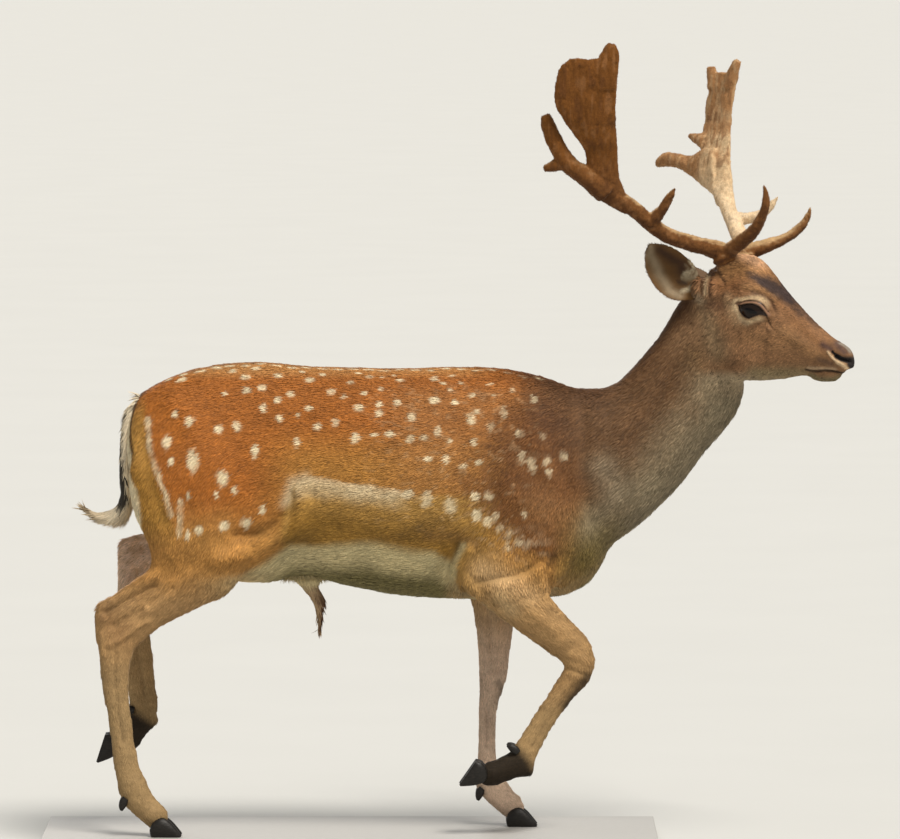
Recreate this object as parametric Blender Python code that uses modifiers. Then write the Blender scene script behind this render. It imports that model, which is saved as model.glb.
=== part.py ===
"""A fallow buck with antlers in velvet, walking: a still, life-size display model on a plain base.

+X is forward, +Y is the animal's left and +Z is up. The origin is the middle of the base's underside.
Outlines are given in metres, with heights counted from the soles of the standing feet, and the whole
animal is lifted by the thickness of the base at the end.
"""

import math

import bmesh
import bpy
import numpy as np
from mathutils import Matrix, Vector

BASE_LENGTH = 1.16
BASE_WIDTH = 0.44
BASE_THICKNESS = 0.025
BASE_CORNER = 0.03
GAP = 0.0003  # between touching pieces, and the width of every parting cut

HEAD_PIVOT = Vector((0.670, -0.020, 1.006))  # top of the neck, between the ears
HEAD_TURN = math.radians(22)  # towards the animal's right

FETLOCK_HEIGHT = 0.092  # of a standing foot
SOLE = -FETLOCK_HEIGHT  # in a foot's own frame, whose origin is the fetlock
CORONET = Vector((0.038, 0, -0.054))  # where the hoof curls on the pastern
CLAW_OFFSET = 0.0122
DEWCLAW_OFFSET = 0.0140

FLESH_VOXEL = 0.0055
ANTLER_VOXEL = 0.0032
FLESH_TRIANGLES = 2550
ANTLER_TRIANGLES = 400

EYE_RADIUS = 0.0235
EYE_CENTRE = Vector((0.113, 0.0415, -0.014))  # in the head's frame, left side

# Each foot: the fetlock's place, the pitch of the pastern and the further curl of the hoof.
FEET = {
    "hind_R": ((-0.410, -0.088, FETLOCK_HEIGHT), 0, 0),
    "hind_L": ((-0.391, 0.088, 0.2150), -73, -35),
    "fore_R": ((0.331, -0.078, 0.142), -107, -18),
    "fore_L": ((0.261, 0.072, FETLOCK_HEIGHT), 0, 0),
}

COAT_BROWN = (0.42, 0.17, 0.06)
LEG_BUFF = (0.46, 0.30, 0.19)
NECK_GREY = (0.24, 0.15, 0.10)
TAIL_DARK = (0.10, 0.06, 0.04)
VELVET_BROWN = (0.22, 0.10, 0.05)
HORN_BLACK = (0.02, 0.017, 0.015)
EYE_DARK = (0.015, 0.008, 0.005)
BASE_GREY = (0.42, 0.41, 0.39)


# ---------------------------------------------------------------- helpers


def clear_scene():
    for old in list(bpy.data.objects):
        bpy.data.objects.remove(old, do_unlink=True)


def new_collection(name):
    made = bpy.data.collections.new(name)
    bpy.context.scene.collection.children.link(made)
    return made


def new_material(name, colour, roughness):
    made = bpy.data.materials.new(name)
    made.use_nodes = True
    shader = made.node_tree.nodes["Principled BSDF"]
    shader.inputs["Base Color"].default_value = (*colour, 1.0)
    shader.inputs["Roughness"].default_value = roughness
    return made


def object_from(name, mesh_data):
    """Turns a bmesh into an object with the given name."""
    mesh = bpy.data.meshes.new(name)
    mesh_data.to_mesh(mesh)
    mesh_data.free()
    made = bpy.data.objects.new(name, mesh)
    bpy.context.scene.collection.objects.link(made)
    return made


def remove(*objects):
    for old in objects:
        bpy.data.objects.remove(old, do_unlink=True)


def smooth_rows(rows, steps):
    """Catmull-Rom interpolation of rows of numbers, with this many steps for each span."""
    rows = np.array(rows, float)
    padded = np.vstack([2 * rows[0] - rows[1], rows, 2 * rows[-1] - rows[-2]])
    found = []
    for before, start, end, after in zip(padded, padded[1:], padded[2:], padded[3:]):
        for step in range(steps):
            t = step / steps
            found.append(
                0.5
                * (
                    2 * start
                    + (end - before) * t
                    + (2 * before - 5 * start + 4 * end - after) * t**2
                    + (3 * start - before - 3 * end + after) * t**3
                )
            )
    return np.array([*found, rows[-1]])


def side(front_x, front_z, back_x, back_z, y, half, taper=0.0, bow=0.0):
    """A cross-section that runs between two points of the side outline, half the width given."""
    return (front_x, y, front_z, back_x, y, back_z, half, taper, bow)


def loft(name, rows, around=20, steps=4):
    """A closed body through oval cross-sections. A row holds the section's two ends, its half width,
    a taper that narrows the first end, and a bow that bends the section into a trough."""
    rings = smooth_rows(rows, steps)
    first, second = rings[:, 0:3], rings[:, 3:6]
    middle = (first + second) / 2
    across = np.cross(np.gradient(middle, axis=0), first - second)
    across /= np.linalg.norm(across, axis=1)[:, None]
    shell = bmesh.new()
    loops = []
    for centre, radius, out, (half, taper, bow) in zip(
        middle, (first - second) / 2, across, rings[:, 6:9]
    ):
        loop = []
        for k in range(around):
            u, v = math.cos(math.tau * k / around), math.sin(math.tau * k / around)
            aside = half * v * (1 - taper * u) + bow * (1 - u * u)
            loop.append(shell.verts.new(centre + radius * u + out * aside))
        loops.append(loop)
    for lower, upper in zip(loops, loops[1:]):
        for k in range(around):
            after = (k + 1) % around
            shell.faces.new((lower[k], lower[after], upper[after], upper[k]))
    shell.faces.new(loops[0])
    shell.faces.new(loops[-1])
    bmesh.ops.recalc_face_normals(shell, faces=shell.faces)
    return object_from(name, shell)


def ball(name, centre, radii, pitch=0.0):
    """An ellipsoid, turned by pitch about the sideways axis."""
    shell = bmesh.new()
    place = (
        Matrix.Translation(centre)
        @ Matrix.Rotation(-pitch, 4, "Y")
        @ Matrix.Diagonal((*radii, 1.0))
    )
    bmesh.ops.create_uvsphere(
        shell, u_segments=14, v_segments=8, radius=1.0, matrix=place
    )
    return object_from(name, shell)


def tine(name, points, radii):
    """A round tapering prong: a curve with a bevel, made into a welded mesh."""
    curve = bpy.data.curves.new(name, "CURVE")
    curve.dimensions = "3D"
    curve.bevel_depth = 1.0
    curve.bevel_resolution = 3
    curve.use_fill_caps = True
    rows = smooth_rows([(*point, radius) for point, radius in zip(points, radii)], 4)
    spline = curve.splines.new("POLY")
    spline.points.add(len(rows) - 1)
    for point, row in zip(spline.points, rows):
        point.co = (*row[:3], 1.0)
        point.radius = row[3]
    guide = bpy.data.objects.new(name + "_curve", curve)
    bpy.context.scene.collection.objects.link(guide)
    made = evaluated_copy(name, guide)
    remove(guide)
    return made


def evaluated_copy(name, source):
    """A new mesh object with the source's modifiers applied and its doubles merged."""
    graph = bpy.context.evaluated_depsgraph_get()
    mesh = bpy.data.meshes.new_from_object(source.evaluated_get(graph))
    welded = bmesh.new()
    welded.from_mesh(mesh)
    bpy.data.meshes.remove(mesh)
    welded.transform(source.matrix_world)
    bmesh.ops.remove_doubles(welded, verts=welded.verts, dist=1e-6)
    return object_from(name, welded)


def transformed(made, matrix):
    made.data.transform(matrix)
    return made


def joined(name, objects):
    """One object that holds all the given meshes, each still a body of its own."""
    whole = bmesh.new()
    for piece in objects:
        whole.from_mesh(piece.data)
    remove(*objects)
    return object_from(name, whole)


def grown(source, distance):
    """A copy whose surface stands this far outside the source's."""
    copy = bmesh.new()
    copy.from_mesh(source.data)
    copy.normal_update()
    for vertex in copy.verts:
        vertex.co += vertex.normal * distance * vertex.calc_shell_factor()
    return object_from(source.name + "_grown", copy)


def cut(target, cutter, solver="EXACT"):
    """The target with the cutter's space taken out of it."""
    boolean = target.modifiers.new("cut", "BOOLEAN")
    boolean.operation = "DIFFERENCE"
    boolean.solver = solver
    boolean.object = cutter
    name = target.name
    made = evaluated_copy(name + "_cut", target)
    remove(target)
    made.name = name
    return made


def largest_body(target):
    """Keeps only the largest of the separate bodies in an object."""
    bodies = loose_bodies(target)
    keep = max(bodies, key=lambda body: len(body.data.vertices))
    remove(*[body for body in bodies if body is not keep])
    name = target.name
    remove(target)
    keep.name = name
    return keep


def loose_bodies(target):
    """Each separate body of an object, as an object of its own."""
    whole = bmesh.new()
    whole.from_mesh(target.data)
    left = set(whole.verts)
    groups = []
    while left:
        edge = [left.pop()]
        group = set(edge)
        while edge:
            for link in edge.pop().link_edges:
                for vertex in link.verts:
                    if vertex in left:
                        left.discard(vertex)
                        group.add(vertex)
                        edge.append(vertex)
        groups.append({vertex.index for vertex in group})
    whole.free()
    made = []
    for group in groups:
        body = bmesh.new()
        body.from_mesh(target.data)
        body.verts.ensure_lookup_table()
        away = [vertex for vertex in body.verts if vertex.index not in group]
        bmesh.ops.delete(body, geom=away, context="VERTS")
        made.append(object_from(target.name + "_body", body))
    return made


def fused(name, objects, voxel, triangles, softness, rounds):
    """One skin over all the given bodies, with its junctions softened where softness says, and then
    thinned to a number of triangles."""
    whole = joined(name + "_bodies", objects)
    remesh = whole.modifiers.new("fuse", "REMESH")
    remesh.mode = "VOXEL"
    remesh.voxel_size = voxel
    skin = evaluated_copy(name + "_skin", whole)
    remove(whole)
    group = skin.vertex_groups.new(name="soft")
    for vertex in skin.data.vertices:
        group.add([vertex.index], softness(vertex.co), "REPLACE")
    soften = skin.modifiers.new("soften", "SMOOTH")
    soften.factor = 0.5
    soften.iterations = rounds
    soften.vertex_group = "soft"
    thin = skin.modifiers.new("thin", "DECIMATE")
    thin.ratio = triangles / (2 * len(skin.data.polygons))
    made = evaluated_copy(name, skin)
    remove(skin)
    return made


def plate(name, first, second, reach, spare=0.02):
    """A cutter as thick as the gap, through two points of the side outline. Its reach is in y."""
    first, second = Vector((first[0], 0, first[1])), Vector((second[0], 0, second[1]))
    along = (first - second).normalized()
    centre = (first + second) / 2
    centre.y = sum(reach) / 2
    normal = along.cross(Vector((0, 1, 0)))
    turn = Matrix((along, Vector((0, 1, 0)), normal)).transposed().to_4x4()
    size = ((first - second).length + 2 * spare, reach[1] - reach[0], GAP)
    shell = bmesh.new()
    bmesh.ops.create_cube(
        shell,
        size=1.0,
        matrix=Matrix.Translation(centre) @ turn @ Matrix.Diagonal((*size, 1.0)),
    )
    bmesh.ops.recalc_face_normals(shell, faces=shell.faces)
    return object_from(name, shell)


def head_place():
    return Matrix.Translation(HEAD_PIVOT) @ Matrix.Rotation(-HEAD_TURN, 4, "Z")


# ---------------------------------------------------------------- trunk, neck and head


def trunk():
    back_line = [
        side(-0.421, 0.765, -0.421, 0.690, 0, 0.035),
        side(-0.402, 0.822, -0.400, 0.640, 0, 0.080, 0.10),
        side(-0.368, 0.848, -0.366, 0.600, 0, 0.104, 0.20),
        side(-0.311, 0.873, -0.311, 0.535, 0, 0.120, 0.25),
        side(-0.245, 0.887, -0.245, 0.482, 0, 0.126, 0.25),
        side(-0.166, 0.892, -0.166, 0.470, 0, 0.124, 0.22),
        side(-0.085, 0.884, -0.085, 0.481, 0, 0.128, 0.15),
        side(0.000, 0.881, 0.000, 0.464, 0, 0.140, 0.10),
        side(0.094, 0.879, 0.094, 0.447, 0, 0.147, 0.12),
        side(0.189, 0.882, 0.189, 0.441, 0, 0.140, 0.18),
        side(0.274, 0.881, 0.274, 0.440, 0, 0.124, 0.25),
        side(0.340, 0.870, 0.340, 0.442, 0, 0.110, 0.25),
        side(0.396, 0.853, 0.398, 0.446, 0, 0.098, 0.18),
        side(0.443, 0.820, 0.454, 0.472, 0, 0.080),
        side(0.478, 0.704, 0.489, 0.526, 0, 0.045),
    ]
    return [loft("trunk_form", back_line, around=32)]


def neck():
    rings = [
        side(0.396, 0.845, 0.425, 0.470, 0.000, 0.090, 0.15),
        side(0.458, 0.842, 0.482, 0.530, 0.000, 0.082, 0.12),
        side(0.494, 0.848, 0.548, 0.581, 0.000, 0.075, 0.08),
        side(0.528, 0.869, 0.590, 0.619, 0.000, 0.068, 0.05),
        side(0.555, 0.899, 0.631, 0.662, 0.000, 0.063),
        side(0.581, 0.930, 0.674, 0.720, -0.002, 0.059),
        side(0.602, 0.966, 0.709, 0.760, -0.006, 0.057),
        side(0.625, 1.008, 0.738, 0.806, -0.012, 0.056),
        side(0.651, 1.042, 0.745, 0.850, -0.018, 0.050),
    ]
    return [loft("neck_form", rings, around=28)]


def head():
    """The head in its own frame, with the nose along +X, then turned and put on the neck."""
    rings = [
        side(0.000, 0.050, 0.020, -0.125, 0, 0.042),
        side(0.035, 0.082, 0.042, -0.134, 0, 0.052),
        side(0.075, 0.092, 0.075, -0.150, 0, 0.058, 0.05),
        side(0.106, 0.088, 0.106, -0.151, 0, 0.058, 0.00),
        side(0.130, 0.074, 0.128, -0.150, 0, 0.053, -0.05),
        side(0.157, 0.041, 0.153, -0.147, 0, 0.045, -0.05),
        side(0.187, 0.004, 0.179, -0.143, 0, 0.037),
        side(0.218, -0.034, 0.210, -0.136, 0, 0.031),
        side(0.248, -0.059, 0.240, -0.132, 0, 0.028),
        side(0.270, -0.073, 0.264, -0.127, 0, 0.026),
        side(0.285, -0.083, 0.281, -0.121, 0, 0.020),
        side(0.293, -0.094, 0.290, -0.112, 0, 0.009),
    ]
    forms = [loft("head_form", rings, around=28)]
    forms.append(ball("chin", (0.239, 0, -0.1360), (0.034, 0.018, 0.0138)))
    for y in (-1, 1):
        forms += [
            ball("orbit", (0.106, 0.040 * y, 0.000), (0.034, 0.024, 0.027), -0.5),
            ball("jowl", (0.085, 0.032 * y, -0.085), (0.052, 0.024, 0.050), -0.4),
            ball("nostril", (0.273, 0.015 * y, -0.092), (0.018, 0.011, 0.014), -0.6),
            ball("ear_root", (0.006, 0.045 * y, 0.026), (0.026, 0.020, 0.026), 0.5),
            ball("pedicle", (0.055, 0.026 * y, 0.078), (0.022, 0.017, 0.018), 0.3),
        ]
    return [transformed(form, head_place()) for form in forms]


# ---------------------------------------------------------------- legs


def near_hind_leg():
    y = -0.088
    rings = [
        side(-0.200, 0.790, -0.375, 0.790, -0.050, 0.034),
        side(-0.160, 0.690, -0.416, 0.695, -0.074, 0.056),
        side(-0.166, 0.578, -0.410, 0.619, -0.084, 0.057),
        side(-0.192, 0.505, -0.391, 0.574, y, 0.050),
        side(-0.223, 0.459, -0.376, 0.533, y, 0.041),
        side(-0.274, 0.435, -0.380, 0.507, y, 0.034),
        side(-0.321, 0.412, -0.406, 0.486, y, 0.028),
        side(-0.362, 0.389, -0.440, 0.461, y, 0.024),
        side(-0.387, 0.368, -0.478, 0.436, y, 0.023),
        side(-0.404, 0.350, -0.479, 0.389, y, 0.023),
        side(-0.412, 0.318, -0.471, 0.342, y, 0.021),
        side(-0.415, 0.276, -0.466, 0.280, y, 0.018),
        side(-0.410, 0.229, -0.455, 0.225, y, 0.016),
        side(-0.404, 0.178, -0.449, 0.172, y, 0.016),
        side(-0.393, 0.129, -0.443, 0.125, y, 0.017),
        side(-0.383, 0.092, -0.437, 0.084, y, 0.020),
    ]
    return [loft("near_hind_form", rings)]


def far_hind_leg():
    y = 0.088
    rings = [
        side(-0.200, 0.790, -0.375, 0.780, 0.050, 0.034),
        side(-0.155, 0.680, -0.414, 0.685, 0.074, 0.056),
        side(-0.155, 0.584, -0.408, 0.622, 0.084, 0.057),
        side(-0.183, 0.528, -0.387, 0.594, y, 0.049),
        side(-0.236, 0.492, -0.376, 0.576, y, 0.040),
        side(-0.292, 0.470, -0.384, 0.562, y, 0.032),
        side(-0.340, 0.461, -0.412, 0.558, y, 0.026),
        side(-0.373, 0.452, -0.443, 0.547, y, 0.023),
        side(-0.385, 0.433, -0.446, 0.509, y, 0.023),
        side(-0.388, 0.399, -0.446, 0.448, y, 0.021),
        side(-0.380, 0.358, -0.439, 0.362, y, 0.018),
        side(-0.373, 0.288, -0.430, 0.284, y, 0.016),
        side(-0.368, 0.248, -0.424, 0.241, y, 0.017),
        side(-0.365, 0.222, -0.420, 0.209, y, 0.020),
    ]
    return [loft("far_hind_form", rings)]


def near_fore_leg():
    y = -0.078
    rings = [
        side(0.400, 0.740, 0.280, 0.720, -0.050, 0.026),
        side(0.452, 0.610, 0.215, 0.600, -0.070, 0.046),
        side(0.412, 0.500, 0.190, 0.512, y, 0.044),
        side(0.378, 0.462, 0.212, 0.470, y, 0.038),
        side(0.391, 0.438, 0.255, 0.432, y, 0.033),
        side(0.415, 0.409, 0.298, 0.400, y, 0.029),
        side(0.438, 0.385, 0.340, 0.370, y, 0.026),
        side(0.453, 0.364, 0.375, 0.345, y, 0.024),
        side(0.461, 0.336, 0.400, 0.328, y, 0.024),
        side(0.458, 0.311, 0.402, 0.313, y, 0.024),
        side(0.447, 0.287, 0.394, 0.302, y, 0.020),
        side(0.415, 0.251, 0.374, 0.270, y, 0.016),
        side(0.389, 0.215, 0.348, 0.232, y, 0.015),
        side(0.368, 0.179, 0.325, 0.194, y, 0.016),
        side(0.354, 0.149, 0.306, 0.166, y, 0.019),
    ]
    return [loft("near_fore_form", rings)]


def far_fore_leg():
    y = 0.072
    rings = [
        side(0.380, 0.720, 0.260, 0.710, 0.050, 0.026),
        side(0.396, 0.580, 0.216, 0.580, 0.068, 0.044),
        side(0.350, 0.472, 0.219, 0.463, y, 0.038),
        side(0.322, 0.425, 0.230, 0.419, y, 0.032),
        side(0.309, 0.378, 0.238, 0.374, y, 0.027),
        side(0.303, 0.331, 0.242, 0.327, y, 0.023),
        side(0.298, 0.289, 0.244, 0.283, y, 0.022),
        side(0.289, 0.259, 0.245, 0.257, y, 0.020),
        side(0.280, 0.229, 0.243, 0.227, y, 0.016),
        side(0.277, 0.180, 0.242, 0.178, y, 0.015),
        side(0.278, 0.129, 0.240, 0.127, y, 0.016),
        side(0.285, 0.094, 0.237, 0.084, y, 0.019),
    ]
    return [loft("far_fore_form", rings)]


def foot_place(name):
    place, pitch, _ = FEET[name]
    return Matrix.Translation(place) @ Matrix.Rotation(math.radians(-pitch), 4, "Y")


def hoof_curl(name, share=1.0):
    """The hoof's turn about the coronet, in the foot's own frame."""
    turn = Matrix.Rotation(math.radians(-FEET[name][2] * share), 4, "Y")
    return Matrix.Translation(CORONET) @ turn @ Matrix.Translation(-CORONET)


def pastern(name):
    rings = [
        (side(0.027, 0.022, -0.027, 0.012, 0, 0.020), 0.0),
        (side(0.036, -0.006, -0.023, -0.020, 0, 0.020), 0.1),
        (side(0.050, -0.026, -0.004, -0.045, 0, 0.019), 0.5),
        (side(0.065, -0.041, 0.010, -0.063, 0, 0.021), 0.9),
        (side(0.069, -0.059, 0.023, -0.077, 0, 0.017), 1.0),
    ]
    rows = []
    for row, share in rings:
        curl = hoof_curl(name, share)
        rows.append((*(curl @ Vector(row[0:3])), *(curl @ Vector(row[3:6])), *row[6:]))
    return transformed(loft(name + "_pastern_form", rows, around=16), foot_place(name))


def claw(name, foot, outward):
    """One half of the cloven hoof, cut flat at the sole."""
    below = SOLE - 0.005
    rings = [
        side(0.034, -0.078, 0.036, SOLE + 0.003, 0, 0.0060),
        side(0.040, -0.064, 0.041, below, 0, 0.0100),
        side(0.051, -0.056, 0.050, below, 0, 0.0114),
        side(0.064, -0.057, 0.061, below, 0, 0.0110),
        side(0.077, -0.067, 0.074, below, 0, 0.0094),
        side(0.088, -0.080, 0.085, below, 0, 0.0068),
        side(0.094, -0.088, 0.092, SOLE - 0.001, 0, 0.0030),
    ]
    made = loft(name, rings, around=10, steps=1)
    shape = bmesh.new()
    shape.from_mesh(made.data)
    bmesh.ops.bisect_plane(
        shape,
        geom=[*shape.verts, *shape.edges, *shape.faces],
        plane_co=(0, 0, SOLE + GAP),
        plane_no=(0, 0, -1),
        clear_outer=True,
    )
    rim = [edge for edge in shape.edges if edge.is_boundary]
    bmesh.ops.contextual_create(shape, geom=rim)
    bmesh.ops.triangulate(shape, faces=shape.faces)
    bmesh.ops.recalc_face_normals(shape, faces=shape.faces)
    shape.to_mesh(made.data)
    shape.free()
    splay = Matrix.Rotation(outward * math.radians(3), 4, "Z")
    aside = Matrix.Translation((0, outward * CLAW_OFFSET, 0))
    return transformed(made, foot_place(foot) @ hoof_curl(foot) @ aside @ splay)


def dewclaw(name, foot, outward):
    rings = [
        side(-0.006, -0.022, -0.016, -0.015, 0, 0.0045),
        side(-0.008, -0.030, -0.022, -0.022, 0, 0.0056),
        side(-0.012, -0.037, -0.024, -0.033, 0, 0.0050),
        side(-0.017, -0.043, -0.022, -0.041, 0, 0.0022),
    ]
    made = loft(name, rings, around=8, steps=1)
    aside = Matrix.Translation((0, outward * DEWCLAW_OFFSET, 0))
    return transformed(made, foot_place(foot) @ aside)


# ---------------------------------------------------------------- tail, sheath, ears, eyes


def tail():
    rings = [
        side(-0.396, 0.829, -0.382, 0.798, 0, 0.012),
        side(-0.424, 0.796, -0.400, 0.776, 0, 0.017),
        side(-0.435, 0.745, -0.407, 0.738, 0, 0.022),
        side(-0.438, 0.685, -0.409, 0.682, 0, 0.024),
        side(-0.437, 0.641, -0.408, 0.630, 0, 0.022),
        side(-0.446, 0.620, -0.424, 0.587, 0, 0.018),
        side(-0.470, 0.608, -0.464, 0.583, 0, 0.013),
        side(-0.492, 0.609, -0.488, 0.595, 0, 0.007),
        side(-0.503, 0.608, -0.502, 0.603, 0, 0.002),
    ]
    return loft("tail", rings, around=10, steps=2)


def sheath():
    rings = [
        side(-0.045, 0.492, -0.125, 0.492, 0, 0.030),
        side(-0.060, 0.468, -0.098, 0.472, 0, 0.018),
        side(-0.051, 0.440, -0.072, 0.440, 0, 0.009),
        side(-0.053, 0.416, -0.064, 0.413, 0, 0.006),
        side(-0.055, 0.394, -0.060, 0.394, 0, 0.003),
        side(-0.057, 0.376, -0.059, 0.376, 0, 0.001),
    ]
    return loft("sheath", rings, around=8, steps=1)


def right_ear():
    """A cupped leaf, with its hollow turned outwards. The bow is the depth of the cup."""
    rows = [
        (0.004, -0.040, 0.042, -0.008, -0.042, 0.004, 0.0080, 0, 0.004),
        (-0.006, -0.056, 0.070, -0.040, -0.070, 0.005, 0.0045, 0, 0.020),
        (-0.026, -0.074, 0.094, -0.066, -0.086, 0.026, 0.0030, 0, 0.025),
        (-0.048, -0.091, 0.107, -0.082, -0.099, 0.060, 0.0024, 0, 0.017),
        (-0.067, -0.103, 0.110, -0.082, -0.105, 0.092, 0.0018, 0, 0.006),
        (-0.074, -0.106, 0.109, -0.077, -0.106, 0.103, 0.0008, 0, 0.000),
    ]
    return transformed(loft("ear_R", rows, around=12, steps=2), head_place())


def left_ear():
    """The far ear, laid further back than the other."""
    rows = [
        (0.004, 0.040, 0.034, -0.008, 0.042, 0.000, 0.0080, 0, -0.004),
        (-0.018, 0.052, 0.050, -0.042, 0.060, -0.008, 0.0045, 0, -0.020),
        (-0.045, 0.062, 0.060, -0.075, 0.074, 0.000, 0.0030, 0, -0.025),
        (-0.075, 0.070, 0.071, -0.102, 0.082, 0.024, 0.0024, 0, -0.017),
        (-0.100, 0.076, 0.073, -0.114, 0.082, 0.050, 0.0018, 0, -0.006),
        (-0.112, 0.080, 0.069, -0.115, 0.081, 0.063, 0.0008, 0, 0.000),
    ]
    return transformed(loft("ear_L", rows, around=12, steps=2), head_place())


def eye(name, y):
    centre = Vector((EYE_CENTRE.x, EYE_CENTRE.y * y, EYE_CENTRE.z))
    return transformed(ball(name, centre, (EYE_RADIUS,) * 3), head_place())


# ---------------------------------------------------------------- antlers


def right_antler():
    """The near antler, in the head's frame: a long beam, a broad palm and one rear tine with a spur."""
    beam = [
        (0.052, -0.026, 0.074),
        (0.044, -0.032, 0.092),
        (0.020, -0.050, 0.103),
        (-0.010, -0.070, 0.112),
        (-0.043, -0.096, 0.126),
        (-0.068, -0.120, 0.150),
        (-0.094, -0.142, 0.178),
        (-0.122, -0.165, 0.203),
    ]
    palm = [
        (-0.078, -0.130, 0.168, -0.116, -0.150, 0.172, 0.014, 0, 0),
        (-0.100, -0.155, 0.200, -0.156, -0.182, 0.204, 0.013, 0, 0),
        (-0.109, -0.172, 0.240, -0.163, -0.199, 0.248, 0.011, 0, 0),
        (-0.108, -0.184, 0.285, -0.164, -0.212, 0.288, 0.010, 0, 0),
        (-0.106, -0.196, 0.330, -0.187, -0.236, 0.330, 0.010, 0, 0),
        (-0.104, -0.204, 0.375, -0.206, -0.255, 0.372, 0.009, 0, 0),
        (-0.100, -0.208, 0.415, -0.205, -0.258, 0.408, 0.008, 0, 0),
        (-0.100, -0.209, 0.440, -0.198, -0.254, 0.440, 0.007, 0, 0),
        (-0.115, -0.214, 0.456, -0.182, -0.247, 0.458, 0.005, 0, 0),
    ]
    knob = [
        (-0.100, -0.208, 0.400, -0.150, -0.231, 0.400, 0.010, 0, 0),
        (-0.098, -0.208, 0.432, -0.138, -0.226, 0.436, 0.010, 0, 0),
        (-0.096, -0.208, 0.460, -0.130, -0.222, 0.463, 0.010, 0, 0),
        (-0.100, -0.209, 0.478, -0.120, -0.217, 0.481, 0.008, 0, 0),
        (-0.107, -0.211, 0.486, -0.113, -0.214, 0.487, 0.003, 0, 0),
    ]
    return [
        loft("palm", palm, around=16),
        tine("beam", beam, (0.021, 0.019, 0.0165, 0.0155, 0.015, 0.015, 0.015, 0.014)),
        ball("burr", (0.049, -0.029, 0.082), (0.025, 0.024, 0.009), 0.4),
        tine(
            "brow",
            [
                (0.046, -0.032, 0.090),
                (0.085, -0.048, 0.112),
                (0.120, -0.064, 0.138),
                (0.141, -0.074, 0.170),
                (0.148, -0.078, 0.197),
                (0.143, -0.078, 0.221),
            ],
            (0.014, 0.0135, 0.011, 0.009, 0.007, 0.002),
        ),
        tine(
            "trez",
            [
                (-0.072, -0.118, 0.148),
                (-0.050, -0.124, 0.166),
                (-0.034, -0.129, 0.184),
                (-0.022, -0.132, 0.202),
                (-0.013, -0.132, 0.216),
            ],
            (0.014, 0.012, 0.0095, 0.007, 0.002),
        ),
        tine(
            "rear",
            [
                (-0.136, -0.172, 0.208),
                (-0.166, -0.198, 0.238),
                (-0.196, -0.213, 0.262),
                (-0.216, -0.220, 0.296),
                (-0.228, -0.225, 0.328),
                (-0.236, -0.228, 0.351),
            ],
            (0.023, 0.0195, 0.0170, 0.0155, 0.0140, 0.0090),
        ),
        tine(
            "spur",
            [(-0.202, -0.214, 0.264), (-0.226, -0.220, 0.256), (-0.240, -0.224, 0.251)],
            (0.013, 0.0105, 0.0060),
        ),
        loft("knob", knob, around=12),
    ]


def left_antler():
    """The far antler: an upright palm with a rear tine and a small spike below it."""
    beam = [
        (0.060, 0.026, 0.074),
        (0.066, 0.034, 0.092),
        (0.050, 0.056, 0.112),
        (0.028, 0.085, 0.138),
        (0.004, 0.115, 0.165),
        (-0.018, 0.142, 0.192),
    ]
    palm = [
        (0.014, 0.120, 0.176, -0.026, 0.134, 0.172, 0.013, 0, 0),
        (-0.002, 0.150, 0.212, -0.058, 0.178, 0.214, 0.012, 0, 0),
        (-0.012, 0.168, 0.248, -0.080, 0.202, 0.250, 0.010, 0, 0),
        (-0.019, 0.186, 0.284, -0.092, 0.222, 0.284, 0.009, 0, 0),
        (-0.022, 0.200, 0.320, -0.090, 0.234, 0.318, 0.008, 0, 0),
        (-0.022, 0.208, 0.360, -0.088, 0.242, 0.358, 0.007, 0, 0),
        (-0.018, 0.214, 0.405, -0.084, 0.246, 0.400, 0.006, 0, 0),
        (-0.022, 0.218, 0.424, -0.076, 0.244, 0.422, 0.004, 0, 0),
    ]
    rear = [
        (-0.050, 0.182, 0.284, -0.030, 0.156, 0.184, 0.010, 0, 0),
        (-0.084, 0.204, 0.275, -0.066, 0.184, 0.202, 0.012, 0, 0),
        (-0.110, 0.216, 0.264, -0.102, 0.210, 0.222, 0.013, 0, 0),
        (-0.138, 0.227, 0.266, -0.138, 0.226, 0.239, 0.013, 0, 0),
        (-0.164, 0.238, 0.269, -0.168, 0.240, 0.242, 0.012, 0, 0),
        (-0.180, 0.244, 0.264, -0.188, 0.248, 0.240, 0.010, 0, 0),
        (-0.188, 0.248, 0.254, -0.192, 0.249, 0.243, 0.005, 0, 0),
    ]
    return [
        loft("palm", palm, around=16),
        tine("beam", beam, (0.021, 0.019, 0.0165, 0.0155, 0.015, 0.014)),
        ball("burr", (0.063, 0.029, 0.082), (0.025, 0.024, 0.009), 0.2),
        tine(
            "brow",
            [
                (0.068, 0.036, 0.090),
                (0.100, 0.045, 0.101),
                (0.130, 0.055, 0.113),
                (0.157, 0.065, 0.131),
                (0.174, 0.070, 0.151),
                (0.183, 0.072, 0.176),
            ],
            (0.014, 0.0135, 0.011, 0.009, 0.007, 0.002),
        ),
        tine(
            "trez",
            [
                (0.010, 0.104, 0.152),
                (0.040, 0.100, 0.150),
                (0.070, 0.104, 0.158),
                (0.090, 0.110, 0.175),
                (0.104, 0.112, 0.192),
            ],
            (0.014, 0.012, 0.0095, 0.007, 0.002),
        ),
        loft("rear", rear, around=14),
        tine(
            "spike",
            [(-0.080, 0.218, 0.290), (-0.104, 0.234, 0.297), (-0.125, 0.245, 0.301)],
            (0.016, 0.0105, 0.0040),
        ),
        tine(
            "front_knob",
            [(-0.034, 0.222, 0.396), (-0.024, 0.218, 0.425), (-0.014, 0.216, 0.446)],
            (0.0125, 0.0110, 0.0080),
        ),
        tine(
            "rear_knob",
            [(-0.074, 0.242, 0.392), (-0.076, 0.243, 0.414), (-0.078, 0.244, 0.433)],
            (0.0140, 0.0135, 0.0100),
        ),
    ]


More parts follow.
